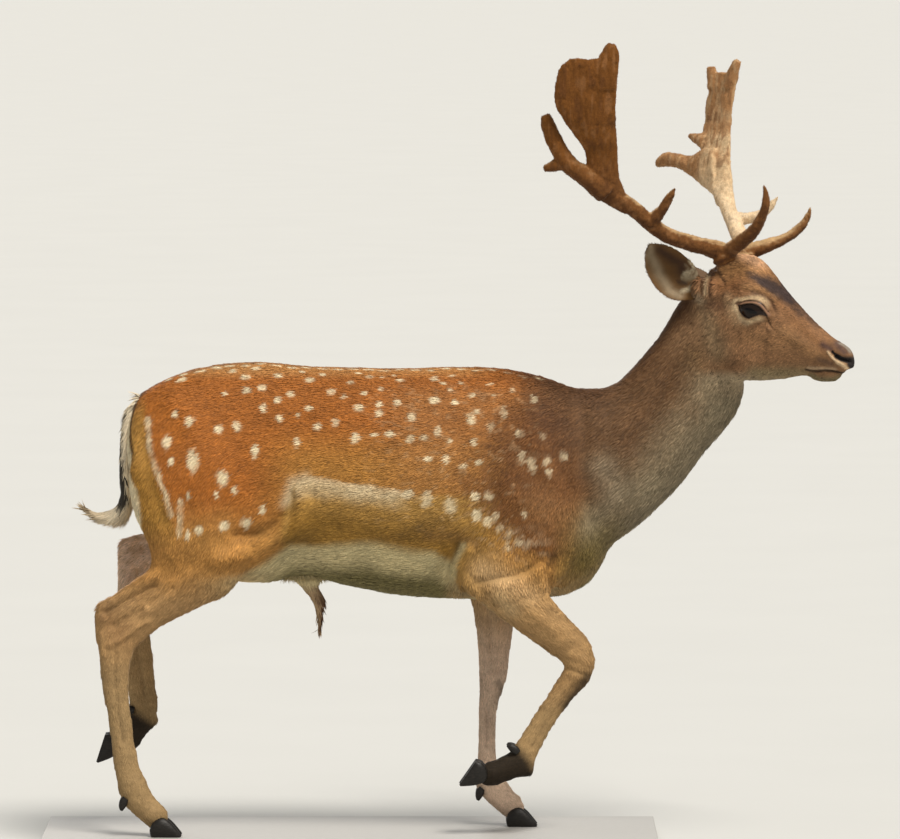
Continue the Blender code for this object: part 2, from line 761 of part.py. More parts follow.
def antler(name, forms):
    whole = fused(name, forms, ANTLER_VOXEL, ANTLER_TRIANGLES, lambda co: 0.6, 4)
    return transformed(whole, head_place())


def across_beam(name, centre, normal):
    """A thin square cutter across an antler's beam, in the head's frame."""
    shell = bmesh.new()
    turn = Vector(normal).to_track_quat("Z", "Y").to_matrix().to_4x4()
    size = Matrix.Diagonal((0.062, 0.062, GAP, 1))
    bmesh.ops.create_cube(shell, size=1.0, matrix=Matrix.Translation(centre) @ turn @ size)
    return transformed(object_from(name, shell), head_place())


def antler_pieces(whole, cuts):
    """Parts an antler above its brow tine and below its palm."""
    plates = [across_beam("fork", *each) for each in cuts]
    low, high = (head_place() @ Vector(centre) for centre, _ in cuts)
    places = {
        whole.name + "_base": low + (low - high) * 0.3,
        whole.name + "_beam": (low + high) / 2,
        whole.name + "_palm": high + (high - low) * 1.2,
    }
    return list(parted(whole, plates, places).values())


# ---------------------------------------------------------------- the whole animal


# Parting cuts: two points of the side outline, then the reach across in y.
PARTINGS = {
    "neck_top": ((0.636, 1.060), (0.752, 0.826), (-0.2, 0.2)),
    "neck_base": ((0.440, 0.880), (0.545, 0.540), (-0.2, 0.2)),
    "haunch": ((-0.105, 0.440), (-0.425, 0.720), (-0.2, 0.2)),
    "near_elbow": ((0.405, 0.446), (0.235, 0.424), (-0.16, -0.012)),
    "far_elbow": ((0.345, 0.434), (0.205, 0.430), (0.012, 0.16)),
    "near_carpus": ((0.464, 0.322), (0.396, 0.318), (-0.13, -0.03)),
    "far_carpus": ((0.302, 0.276), (0.240, 0.270), (0.03, 0.13)),
    "near_fore_fetlock": ((0.364, 0.166), (0.314, 0.186), (-0.13, -0.03)),
    "far_fore_fetlock": ((0.284, 0.112), (0.236, 0.106), (0.03, 0.13)),
    "near_hock": ((-0.395, 0.345), (-0.486, 0.362), (-0.14, -0.03)),
    "far_hock": ((-0.378, 0.430), (-0.454, 0.458), (0.03, 0.14)),
    "near_hind_fetlock": ((-0.384, 0.112), (-0.446, 0.104), (-0.14, -0.03)),
    "far_hind_fetlock": ((-0.362, 0.236), (-0.420, 0.226), (0.03, 0.14)),
}
STIFLES = {
    "near_stifle": ((-0.245, 0.425), (-0.392, 0.528), (-0.18, -0.001)),
    "far_stifle": ((-0.262, 0.462), (-0.384, 0.588), (0.001, 0.18)),
}

# Where each antler is parted: a point of its beam and the beam's direction, in the head's frame.
RIGHT_FORKS = (
    ((0.006, -0.059, 0.108), (-0.030, -0.020, 0.009)),
    ((-0.090, -0.138, 0.174), (-0.026, -0.022, 0.028)),
)
LEFT_FORKS = (
    ((0.048, 0.058, 0.114), (-0.020, 0.028, 0.026)),
    ((-0.006, 0.128, 0.178), (-0.024, 0.028, 0.027)),
)

# A point inside each named piece of flesh, by which the parted bodies are named.
FLESH_PLACES = {
    "trunk": (0.05, 0.0, 0.67),
    "neck": (0.60, 0.0, 0.80),
    "head": (0.78, -0.05, 0.95),
    "hind_legs": (-0.30, 0.0, 0.54),
    "hind_R_cannon": (-0.437, -0.088, 0.23),
    "hind_L_cannon": (-0.405, 0.088, 0.34),
    "hind_R_foot": (-0.395, -0.088, 0.07),
    "hind_L_foot": (-0.41, 0.088, 0.20),
    "fore_R_forearm": (0.38, -0.078, 0.38),
    "fore_L_forearm": (0.27, 0.072, 0.35),
    "fore_R_cannon": (0.39, -0.078, 0.25),
    "fore_L_cannon": (0.262, 0.072, 0.19),
    "fore_R_foot": (0.315, -0.078, 0.15),
    "fore_L_foot": (0.275, 0.072, 0.07),
}
HIND_PLACES = {
    "hind_R_thigh": (-0.28, -0.07, 0.58),
    "hind_L_thigh": (-0.28, 0.07, 0.59),
    "hind_R_shank": (-0.38, -0.088, 0.44),
    "hind_L_shank": (-0.37, 0.088, 0.51),
}


def softness(co):
    """How much the fused skin is smoothed: fully on the trunk, little on the lower legs and face."""
    if co.x > 0.70 and co.z > 0.83:
        return 0.12
    return min(1.0, max(0.12, (co.z - 0.36) / 0.12))


def parted(whole, cutters, places):
    """Cuts an object with thin plates and names each body after the nearest of the given places."""
    cutter = joined("partings", cutters)
    whole = cut(whole, cutter)
    remove(cutter)
    made = {}
    for body in sorted(loose_bodies(whole), key=volume, reverse=True):
        corners = [vertex.co for vertex in body.data.vertices]
        middle = sum(corners, Vector()) / len(corners)
        name = min(places, key=lambda key: (Vector(places[key]) - middle).length)
        if name in made:
            remove(body)
            continue
        made[name] = body
        body.name = name
    remove(whole)
    return made


def volume(body):
    solid = bmesh.new()
    solid.from_mesh(body.data)
    found = solid.calc_volume()
    solid.free()
    return found


def flesh_pieces(whole):
    """The skin of the whole animal, parted at its joints into named pieces."""
    pieces = parted(whole, [plate(n, *p) for n, p in PARTINGS.items()], FLESH_PLACES)
    median = plate("median", (-0.5, 0.55), (0.0, 0.55), (-0.2, 0.2))
    median.data.transform(
        Matrix.Translation((0, 0, 0.55))
        @ Matrix.Rotation(math.pi / 2, 4, "X")
        @ Matrix.Translation((0, 0, -0.55))
    )
    halves = parted(pieces.pop("hind_legs"), [median], {"R": (0, -1, 0), "L": (0, 1, 0)})
    for key, name in (("R", "near_stifle"), ("L", "far_stifle")):
        stifle = plate(name, *STIFLES[name])
        pieces |= parted(halves[key], [stifle], HIND_PLACES)
    return pieces


def stand_base():
    """A flat board with rounded corners, on which the standing feet rest."""
    board = bmesh.new()
    size = (BASE_LENGTH, BASE_WIDTH, BASE_THICKNESS)
    centre = Matrix.Translation((0, 0, -BASE_THICKNESS / 2))
    bmesh.ops.create_cube(board, size=1.0, matrix=centre @ Matrix.Diagonal((*size, 1.0)))
    upright = [e for e in board.edges if abs(e.verts[0].co.z - e.verts[1].co.z) > 0.01]
    bmesh.ops.bevel(
        board, geom=upright, offset=BASE_CORNER, segments=5, profile=0.5, affect="EDGES"
    )
    rim = [e for e in board.edges if min(v.co.z for v in e.verts) > -0.001]
    bmesh.ops.bevel(
        board, geom=rim, offset=0.003, segments=1, profile=0.5, affect="EDGES"
    )
    return object_from("stand_base", board)


def hoof_pieces():
    """The claws and dewclaws of all four feet."""
    made = []
    for foot, (fetlock, _, _) in FEET.items():
        away = math.copysign(1, fetlock[1])
        for place, outward in (("outer", away), ("inner", -away)):
            made.append(claw(f"{foot}_claw_{place}", foot, outward))
            made.append(dewclaw(f"{foot}_dewclaw_{place}", foot, outward))
    return made


def look_of(name):
    """The name of the material that a piece wears."""
    for part_of_name, look in (
        ("stand", "base_grey"),
        ("claw", "horn_black"),
        ("eye", "eye_dark"),
        ("antler", "velvet_brown"),
        ("tail", "tail_dark"),
        ("neck", "neck_grey"),
        ("head", "neck_grey"),
        ("ear_", "neck_grey"),
        ("cannon", "leg_buff"),
        ("foot", "leg_buff"),
        ("forearm", "leg_buff"),
        ("shank", "leg_buff"),
    ):
        if part_of_name in name:
            return look
    return "coat_brown"


def main():
    clear_scene()
    model = new_collection("fallow_buck")
    forms = [*trunk(), *neck(), *head()]
    forms += [*near_hind_leg(), *far_hind_leg(), *near_fore_leg(), *far_fore_leg()]
    forms += [pastern(name) for name in FEET]
    flesh = fused("flesh", forms, FLESH_VOXEL, FLESH_TRIANGLES, softness, 14)

    hooves = hoof_pieces()
    eyes = [eye("eye_R", -1), eye("eye_L", 1)]
    antlers = [antler("antler_R", right_antler()), antler("antler_L", left_antler())]
    appendages = [tail(), sheath(), right_ear(), left_ear()]

    cutter = grown(flesh, GAP)  # folds on itself in the creases, where EXACT leaves an overlap
    appendages = [largest_body(cut(piece, cutter, "MANIFOLD")) for piece in appendages]
    remove(cutter)
    for piece in [*hooves, *eyes, *antlers]:
        cutter = grown(piece, GAP)
        flesh = cut(flesh, cutter)
        remove(cutter)
    pieces = flesh_pieces(flesh)
    forks = [antler_pieces(*each) for each in zip(antlers, (RIGHT_FORKS, LEFT_FORKS))]

    looks = {
        "coat_brown": new_material("coat_brown", COAT_BROWN, 0.8),
        "leg_buff": new_material("leg_buff", LEG_BUFF, 0.8),
        "neck_grey": new_material("neck_grey", NECK_GREY, 0.8),
        "tail_dark": new_material("tail_dark", TAIL_DARK, 0.8),
        "velvet_brown": new_material("velvet_brown", VELVET_BROWN, 0.9),
        "horn_black": new_material("horn_black", HORN_BLACK, 0.5),
        "eye_dark": new_material("eye_dark", EYE_DARK, 0.1),
        "base_grey": new_material("base_grey", BASE_GREY, 0.6),
    }
    solids = [*pieces.values(), *hooves, *eyes, *appendages, *sum(forks, [])]
    for made in [*solids, stand_base()]:
        made.data.materials.clear()
        made.data.materials.append(looks[look_of(made.name)])
        made.data.transform(Matrix.Translation((0, 0, BASE_THICKNESS)))
        bpy.context.scene.collection.objects.unlink(made)
        model.objects.link(made)


main()
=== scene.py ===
import math

import bmesh
import bpy
import numpy as np
from mathutils import Matrix, Vector
from mathutils.bvhtree import BVHTree


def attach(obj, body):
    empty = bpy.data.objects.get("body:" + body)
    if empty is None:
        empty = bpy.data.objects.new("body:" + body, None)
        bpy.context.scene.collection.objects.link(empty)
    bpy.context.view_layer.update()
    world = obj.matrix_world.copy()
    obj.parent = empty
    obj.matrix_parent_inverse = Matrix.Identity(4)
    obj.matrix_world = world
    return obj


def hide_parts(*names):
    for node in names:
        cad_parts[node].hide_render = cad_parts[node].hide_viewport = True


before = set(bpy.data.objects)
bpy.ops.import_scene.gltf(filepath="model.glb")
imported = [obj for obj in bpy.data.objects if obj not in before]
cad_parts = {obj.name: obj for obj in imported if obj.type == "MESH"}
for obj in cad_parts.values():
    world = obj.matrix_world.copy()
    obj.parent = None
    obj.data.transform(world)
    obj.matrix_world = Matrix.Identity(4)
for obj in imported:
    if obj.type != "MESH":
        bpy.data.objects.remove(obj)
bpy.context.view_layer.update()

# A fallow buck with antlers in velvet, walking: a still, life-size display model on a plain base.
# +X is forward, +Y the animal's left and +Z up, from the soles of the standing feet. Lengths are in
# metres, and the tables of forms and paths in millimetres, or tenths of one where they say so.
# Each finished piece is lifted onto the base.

bpy.ops.object.select_all(action="DESELECT")
CHANCE = np.random.default_rng(7)

BASE_LENGTH = 1.16
BASE_WIDTH = 0.44
BASE_THICKNESS = 0.025
BASE_CORNER = 0.03

HEAD_PIVOT = Vector((0.67, -0.02, 1.006))
HEAD_TURN = math.radians(22)
HEAD = Matrix.Translation(HEAD_PIVOT) @ Matrix.Rotation(-HEAD_TURN, 4, "Z")

FETLOCK_HEIGHT = 0.092
SOLE = -FETLOCK_HEIGHT
CORONET = Vector((0.038, 0, -0.054))
CLAW_OFFSET = 0.0122
DEWCLAW_OFFSET = 0.014
FEET = {
    "hind_R": ((-0.41, -0.088, FETLOCK_HEIGHT), 0, 0),
    "hind_L": ((-0.391, 0.088, 0.215), -73, -35),
    "fore_R": ((0.331, -0.078, 0.142), -107, -18),
    "fore_L": ((0.261, 0.072, FETLOCK_HEIGHT), 0, 0),
}

SKIN_VOXEL = 0.0082
ANTLER_VOXEL = 0.0024
TUFTS_TO_A_PIECE = 48000
NAP_DENSITY = 2.6e5  # roots to the square metre
EAR_DENSITY = 8.5e5
TAIL_HAIR = (0.028, 0.0034, 0.07, 5.5)  # length, width, lift and cover
SHEATH_HAIR = (0.022, 0.0026, 0.14, 4.5)
PAINT = "tone"
MAP = "OFBake"

VIEW_TARGET = Vector((0.1887, 0, 0.805))
VIEW_LIFT = math.radians(4)
VIEW_DISTANCE = 14
VIEW_WIDTH = 1.698
SENSOR_WIDTH = 36
FAR_END = 1000

# The eye's opening, in the head's frame: its middle, its slope, and the eyeball behind it.
EYE_MIDDLE = np.array((0.113, 0.045, -0.014))
EYE_SLOPE = math.radians(-17)
EYE_LONG = 0.029
EYE_UPPER = 0.013
EYE_LOWER = 0.0142
EYEBALL = (0.03, 0.02, 0.025)  # along the opening, outwards, and across it

# ---------------------------------------------------------------- workshop tools


def take(piece):
    """Makes a piece the only one selected."""
    bpy.ops.object.select_all(action="DESELECT")
    piece.select_set(True)
    bpy.context.view_layer.objects.active = piece
    return piece


def placed(name, data):
    """An object in the scene that holds the given mesh or curve."""
    piece = bpy.data.objects.new(name, data)
    bpy.context.collection.objects.link(piece)
    return piece


def built(name, points, faces):
    """A mesh object from arrays of points and of faces."""
    mesh = bpy.data.meshes.new(name)
    mesh.from_pydata(np.asarray(points).tolist(), [], [list(face) for face in faces])
    return placed(name, mesh)


def edited(piece, operation, **settings):
    """Runs one of the mesh editor's operations over the whole of a piece."""
    take(piece)
    bpy.ops.object.mode_set(mode="EDIT")
    bpy.ops.mesh.select_all(action="SELECT")
    operation(**settings)
    bpy.ops.object.mode_set(mode="OBJECT")
    return piece


def faced_out(piece):
    """Turns a closed piece's faces to point out of it."""
    return edited(piece, bpy.ops.mesh.normals_make_consistent, inside=False)


def shaded(piece):
    """Draws a piece as a smooth one, without facets."""
    take(piece)
    bpy.ops.object.shade_smooth()
    return piece


def joined(name, pieces):
    """One object that holds all the given pieces."""
    bpy.ops.object.select_all(action="DESELECT")
    for piece in pieces:
        piece.select_set(True)
    bpy.context.view_layer.objects.active = pieces[0]
    bpy.ops.object.join()
    pieces[0].name = name
    return pieces[0]


def transformed(piece, matrix):
    piece.data.transform(matrix)
    return piece


def smooth_rows(rows, steps):
    """Catmull-Rom interpolation of rows of numbers, with this many steps for each span."""
    rows = np.array(rows, float)
    padded = np.vstack([2 * rows[0] - rows[1], rows, 2 * rows[-1] - rows[-2]])
    found = []
    for before, start, end, after in zip(padded, padded[1:], padded[2:], padded[3:]):
        for step in range(steps):
            t = step / steps
            found.append(
                0.5
                * (
                    2 * start
                    + (end - before) * t
                    + (2 * before - 5 * start + 4 * end - after) * t**2
                    + (3 * start - before - 3 * end + after) * t**3
                )
            )
    return np.array([*found, rows[-1]])


def side(front_x, front_z, back_x, back_z, y, half, taper=0.0):
    """A cross-section that runs between two points of the side outline, with its half width."""
    return (front_x, y, front_z, back_x, y, back_z, half, taper, 0.0)


def sections(*rows):
    """The same for many rows in millimetres, each with its taper last if it has one."""
    return [side(*(size / 1000 for size in row[:6]), *row[6:]) for row in rows]


def spans(*rows):
    """Cross-sections between any two points in space, in millimetres: the two points, the half
    width, and last the bow if there is one."""
    sizes = [[size / 1000 for size in (*row, 0)] for row in rows]
    return [(*row[:7], 0.0, row[7]) for row in sizes]


def line(*numbers, unit=1000):
    """A path's points, forward and up for each in turn, in millimetres unless the unit is finer."""
    return np.reshape(numbers, (-1, 2)) / unit


def unit_long(ways):
    """Directions brought to a length of one."""
    return ways / np.maximum(np.linalg.norm(ways, axis=1), 1e-9)[:, None]


def loft(name, rows, around=36, steps=7):
    """A closed body through oval cross-sections. A row holds the section's two ends, its half
    width, a taper that narrows the first end, and a bow that bends the section into a trough."""
    rings = smooth_rows(rows, steps)
    first, second = rings[:, 0:3], rings[:, 3:6]
    middle, reach = (first + second) / 2, (first - second) / 2
    across = unit_long(np.cross(np.gradient(middle, axis=0), reach))
    half, taper, bow = (rings[:, k, None] for k in (6, 7, 8))
    turn = math.tau * np.arange(around) / around
    u, v = np.cos(turn), np.sin(turn)
    aside = half * v * (1 - taper * u) + bow * (1 - u * u)
    points = middle[:, None] + reach[:, None] * u[:, None] + across[:, None] * aside[..., None]
    k = np.arange(around)
    after = (k + 1) % around
    start = (np.arange(len(rings) - 1) * around)[:, None]
    walls = np.stack([start + k, start + after, start + around + after, start + around + k], -1)
    last = (len(rings) - 1) * around
    faces = [*walls.reshape(-1, 4).tolist(), list(range(around)), list(range(last, last + around))]
    return faced_out(built(name, points.reshape(-1, 3), faces))


def ball(name, centre, radii, pitch=0.0):
    """An ellipsoid, turned by pitch about the sideways axis."""
    bpy.ops.mesh.primitive_uv_sphere_add(
        segments=28, ring_count=16, radius=1.0, location=centre, rotation=(0, -pitch, 0)
    )
    piece = bpy.context.active_object
    piece.name = name
    piece.scale = radii
    take(piece)
    bpy.ops.object.transform_apply(location=True, rotation=True, scale=True)
    return piece


def tine(name, *rows):
    """A round tapering prong: a curve with a bevel, made into a welded mesh. A row is a point that
    it runs through and its radius there, in millimetres."""
    curve = bpy.data.curves.new(name, "CURVE")
    curve.dimensions = "3D"
    curve.bevel_depth = 1.0
    curve.bevel_resolution = 4
    curve.use_fill_caps = True
    rows = smooth_rows(np.array(rows) / 1000, 6)
    spline = curve.splines.new("POLY")
    spline.points.add(len(rows) - 1)
    for point, row in zip(spline.points, rows):
        point.co = (*row[:3], 1.0)
        point.radius = row[3]
    take(placed(name, curve))
    bpy.ops.object.convert(target="MESH")
    piece = bpy.context.active_object
    return faced_out(edited(piece, bpy.ops.mesh.remove_doubles, threshold=1e-6))


def fused(name, pieces, voxel):
    """One skin over all the given bodies."""
    whole = take(joined(name, pieces))
    remesh = whole.modifiers.new("fuse", "REMESH")
    remesh.mode = "VOXEL"
    remesh.voxel_size = voxel
    bpy.ops.object.modifier_apply(modifier="fuse")
    return whole


def points_of(mesh):
    found = np.empty(len(mesh.vertices) * 3, np.float32)
    mesh.vertices.foreach_get("co", found)
    return found.reshape(-1, 3).astype(float)


def set_points(mesh, points):
    mesh.vertices.foreach_set("co", np.asarray(points, np.float32).ravel())
    mesh.update()


def edges_of(mesh):
    found = np.empty(len(mesh.edges) * 2, np.int32)
    mesh.edges.foreach_get("vertices", found)
    return found.reshape(-1, 2)


def normals_of(mesh):
    mesh.update()
    found = np.empty(len(mesh.vertices) * 3, np.float32)
    mesh.vertices.foreach_get("normal", found)
    return found.reshape(-1, 3).astype(float)


def surface_of(piece):
    return points_of(piece.data), normals_of(piece.data)


def relaxed(points, edges, weight, rounds, push):
    """The points drawn towards the middle of their neighbours, as strongly as their weight. A push
    moves them part of the way back after each round, which keeps the size of thin forms."""
    first, second = edges.T
    count = np.bincount(edges.ravel(), minlength=len(points))[:, None]
    weight = (0.5 * np.broadcast_to(weight, len(points)))[:, None]
    for strength in (1.0, -push) * rounds:
        total = np.stack(
            [
                np.bincount(first, points[second, k], len(points))
                + np.bincount(second, points[first, k], len(points))
                for k in range(3)
            ],
            axis=1,
        )
        points = points + strength * weight * (total / count - points)
    return points


def divided(piece, inside):
    """Cuts each edge in two where both its ends are inside."""
    whole = bmesh.new()
    whole.from_mesh(piece.data)
    chosen = inside(points_of(piece.data))
    edges = [e for e in whole.edges if chosen[e.verts[0].index] and chosen[e.verts[1].index]]
    bmesh.ops.subdivide_edges(whole, edges=edges, cuts=1, use_grid_fill=True)
    whole.to_mesh(piece.data)
    whole.free()


def fade(value, start, end):
    """A smooth step from 0 at start to 1 at end."""
    t = np.clip((value - start) / (end - start), 0, 1)
    return t * t * (3 - 2 * t)


def grain(points, size, seed):
    """Smooth random values from -1 to 1 over space, in lumps of about this size."""
    place = points / np.asarray(size) + 31.7 * (seed + 1)
    cell = np.floor(place).astype(np.int64)
    part = place - cell
    part = part * part * (3 - 2 * part)
    total = np.zeros(len(points))
    for corner in np.ndindex(2, 2, 2):
        x, y, z = (cell + corner).T
        mixed = (x * 73856093) ^ (y * 19349663) ^ (z * 83492791) ^ (seed * 2654435)
        mixed = (mixed * 2246822519) & 0xFFFFFFFF
        mixed = ((mixed ^ (mixed >> 15)) * 3266489917) & 0xFFFFFFFF
        share = np.prod(np.where(corner, part, 1 - part), axis=1)
        total += share * ((mixed >> 8) & 0xFFFF) / 32767.5
    return total - 1


def away(places, path):
    """Each place's distance from a line through the points of a path."""
    places, path = np.asarray(places, float), np.asarray(path, float)
    nearest = np.full(len(places), np.inf)
    for start, end in zip(path, path[1:]):
        along = end - start
        t = np.clip((places - start) @ along / (along @ along), 0, 1)
        gap = np.linalg.norm(places - start - t[:, None] * along, axis=1)
        nearest = np.minimum(nearest, gap)
    return nearest


def stroke(places, path, width):
    """How near places are to a path: 1 upon it, and fading to 0 over about the width."""
    return np.exp(-((away(places, path) / width) ** 2))


def moved(points, matrix):
    matrix = np.array(matrix)
    return points @ matrix[:3, :3].T + matrix[:3, 3]


def in_head(points):
    """Points in the head's own frame, where the nose lies along +X."""
    return moved(points, HEAD.inverted())


# ---------------------------------------------------------------- the forms


def trunk():
    return sections(
        (-421, 765, -421, 690, 0, 35), (-402, 822, -400, 640, 0, 80, 0.1),
        (-368, 848, -366, 600, 0, 104, 0.2), (-311, 873, -311, 535, 0, 120, 0.25),
        (-245, 887, -245, 482, 0, 126, 0.25), (-166, 892, -166, 470, 0, 124, 0.22),
        (-85, 884, -85, 481, 0, 128, 0.15), (0, 881, 0, 464, 0, 140, 0.1),
        (94, 879, 94, 447, 0, 147, 0.12), (189, 882, 189, 441, 0, 140, 0.18),
        (274, 881, 274, 440, 0, 124, 0.25), (340, 870, 340, 442, 0, 110, 0.25),
        (396, 853, 398, 446, 0, 98, 0.18), (443, 820, 454, 472, 0, 80), (478, 704, 489, 526, 0, 45),
    )


def neck():
    return sections(
        (396, 845, 425, 470, 0, 90, 0.15), (458, 842, 482, 530, 0, 82, 0.12),
        (494, 848, 548, 581, 0, 75, 0.08), (524, 871, 590, 619, 0, 68, 0.05),
        (550, 902, 631, 662, 0, 63), (576, 933, 674, 720, -2, 59), (598, 968, 709, 760, -6, 57),
        (622, 1009, 738, 806, -12, 56), (651, 1042, 745, 850, -18, 50),
    )


def head():
    """The head in its own frame, with the nose along +X, then turned and put on the neck."""
    rings = sections(
        (0, 50, 20, -125, 0, 42), (35, 82, 42, -134, 0, 52), (75, 92, 75, -150, 0, 58, 0.05),
        (106, 84, 106, -151, 0, 58), (130, 62, 128, -150, 0, 53, -0.05),
        (155, 31, 153, -147, 0, 45, -0.05), (186, -1, 179, -143, 0, 37),
        (218, -34, 210, -136, 0, 31), (248, -59, 240, -132, 0, 28), (270, -73, 264, -127, 0, 26),
        (285, -83, 281, -121, 0, 20), (293, -94, 290, -112, 0, 9),
    )
    forms = [loft("head_form", rings)]
    forms.append(ball("chin", (0.239, 0, -0.136), (0.034, 0.018, 0.0138)))
    for y in (-1, 1):
        forms += [
            ball("orbit", (0.106, 0.04 * y, 0.0), (0.034, 0.024, 0.027), -0.5),
            ball("jowl", (0.085, 0.032 * y, -0.085), (0.052, 0.024, 0.05), -0.4),
            ball("nostril", (0.273, 0.015 * y, -0.092), (0.018, 0.011, 0.014), -0.6),
            ball("ear_root", (0.006, 0.045 * y, 0.026), (0.026, 0.02, 0.026), 0.5),
            ball("pedicle", (0.055, 0.026 * y, 0.078), (0.022, 0.017, 0.018), 0.3),
        ]
    return [transformed(form, HEAD) for form in forms]


def near_hind_leg():
    y = -88
    return sections(
        (-200, 790, -375, 790, -50, 34), (-160, 690, -416, 695, -74, 56),
        (-166, 578, -410, 619, -84, 57), (-192, 505, -391, 574, y, 50),
        (-223, 459, -376, 533, y, 41), (-274, 435, -380, 507, y, 34), (-321, 412, -406, 486, y, 28),
        (-362, 389, -440, 461, y, 24), (-387, 368, -478, 436, y, 23), (-404, 350, -479, 389, y, 23),
        (-412, 318, -471, 342, y, 21), (-415, 276, -466, 280, y, 18), (-410, 229, -455, 225, y, 16),
        (-404, 178, -449, 172, y, 16), (-393, 129, -443, 125, y, 17), (-383, 92, -437, 84, y, 20),
    )


def far_hind_leg():
    y = 88
    return sections(
        (-200, 790, -375, 780, 50, 34), (-155, 680, -414, 685, 74, 56),
        (-155, 584, -408, 622, 84, 57), (-183, 528, -387, 594, y, 49),
        (-236, 492, -376, 576, y, 40), (-292, 470, -384, 562, y, 32), (-340, 461, -412, 558, y, 26),
        (-373, 452, -443, 547, y, 23), (-385, 433, -446, 509, y, 23), (-388, 399, -446, 448, y, 21),
        (-380, 358, -439, 362, y, 18), (-373, 288, -430, 284, y, 16), (-368, 248, -424, 241, y, 17),
        (-365, 222, -420, 209, y, 20),
    )


def near_fore_leg():
    y = -78
    return sections(
        (400, 740, 280, 720, -50, 26), (452, 610, 215, 600, -70, 46), (412, 500, 190, 512, y, 44),
        (378, 462, 212, 470, y, 38), (391, 438, 255, 432, y, 33), (415, 409, 298, 400, y, 29),
        (438, 385, 340, 370, y, 26), (453, 364, 375, 345, y, 24), (461, 336, 400, 328, y, 24),
        (458, 311, 402, 313, y, 24), (447, 287, 394, 302, y, 20), (415, 251, 374, 270, y, 16),
        (389, 215, 348, 232, y, 15), (368, 179, 325, 194, y, 16), (354, 149, 306, 166, y, 19),
    )


def far_fore_leg():
    y = 72
    return sections(
        (380, 720, 260, 710, 50, 26), (396, 580, 216, 580, 68, 44), (350, 472, 219, 463, y, 38),
        (322, 425, 230, 419, y, 32), (309, 378, 238, 374, y, 27), (303, 331, 242, 327, y, 23),
        (298, 289, 244, 283, y, 22), (289, 259, 245, 257, y, 20), (280, 229, 243, 227, y, 16),
        (277, 180, 242, 178, y, 15), (278, 129, 240, 127, y, 16), (285, 94, 237, 84, y, 19),
    )


def foot_place(name):
    place, pitch, _ = FEET[name]
    return Matrix.Translation(place) @ Matrix.Rotation(math.radians(-pitch), 4, "Y")


def hoof_curl(name, share=1.0):
    """The hoof's turn about the coronet, in the foot's own frame."""
    turn = Matrix.Rotation(math.radians(-FEET[name][2] * share), 4, "Y")
    return Matrix.Translation(CORONET) @ turn @ Matrix.Translation(-CORONET)


def pastern(name):
    rings = sections(
        (27, 22, -27, 12, 0, 20), (36, -6, -23, -20, 0, 20), (50, -26, -4, -45, 0, 19),
        (65, -41, 14, -60, 0, 21), (70, -60, 34, -77, 0, 16),
    )
    rows = []
    for row, share in zip(rings, (0.0, 0.1, 0.5, 0.9, 1.0)):
        curl = hoof_curl(name, share)
        rows.append((*(curl @ Vector(row[0:3])), *(curl @ Vector(row[3:6])), *row[6:]))
    return transformed(loft(name + "_pastern_form", rows, around=28), foot_place(name))


def claw(name, foot, outward):
    """One half of the cloven hoof, cut flat at the sole."""
    below = SOLE - 0.005
    rings = [
        side(0.034, -0.078, 0.036, SOLE + 0.003, 0, 0.006),
        side(0.04, -0.064, 0.041, below, 0, 0.01),
        side(0.051, -0.056, 0.05, below, 0, 0.0114),
        side(0.064, -0.057, 0.061, below, 0, 0.011),
        side(0.077, -0.067, 0.074, below, 0, 0.0094),
        side(0.088, -0.08, 0.085, below, 0, 0.0068),
        side(0.094, -0.088, 0.092, SOLE - 0.001, 0, 0.003),
    ]
    made = loft(name, rings, around=24, steps=5)
    shape = bmesh.new()
    shape.from_mesh(made.data)
    bmesh.ops.bisect_plane(
        shape,
        geom=[*shape.verts, *shape.edges, *shape.faces],
        plane_co=(0, 0, SOLE + 0.0002),
        plane_no=(0, 0, -1),
        clear_outer=True,
    )
    rim = [edge for edge in shape.edges if edge.is_boundary]
    bmesh.ops.contextual_create(shape, geom=rim)
    bmesh.ops.triangulate(shape, faces=shape.faces)
    bmesh.ops.recalc_face_normals(shape, faces=shape.faces)
    shape.to_mesh(made.data)
    shape.free()
    splay = Matrix.Rotation(outward * math.radians(3), 4, "Z")
    aside = Matrix.Translation((0, outward * CLAW_OFFSET, 0))
    return transformed(made, foot_place(foot) @ hoof_curl(foot) @ aside @ splay)


def dewclaw(name, foot, outward):
    rings = sections(
        (-6, -22, -16, -15, 0, 4.5), (-8, -30, -22, -22, 0, 5.6), (-12, -37, -24, -33, 0, 5),
        (-17, -43, -22, -41, 0, 2.2),
    )
    made = loft(name, rings, around=16, steps=4)
    aside = Matrix.Translation((0, outward * DEWCLAW_OFFSET, 0))
    return transformed(made, foot_place(foot) @ aside)


def tail_rows():
    return sections(
        (-394, 828, -384, 800, 0, 10), (-420, 795, -402, 778, 0, 14), (-430, 745, -409, 738, 0, 19),
        (-433, 685, -411, 682, 0, 21), (-432, 643, -410, 632, 0, 19), (-442, 616, -424, 590, 0, 15),
        (-468, 604, -462, 585, 0, 10), (-488, 606, -484, 595, 0, 5), (-497, 609, -496, 605, 0, 1.5),
    )


def sheath_rows():
    return sections(
        (-45, 492, -125, 492, 0, 30), (-60, 468, -98, 472, 0, 18), (-51, 440, -72, 440, 0, 9),
        (-53, 418, -63, 415, 0, 5.5), (-55, 398, -60, 398, 0, 3), (-57, 384, -59, 384, 0, 1),
    )


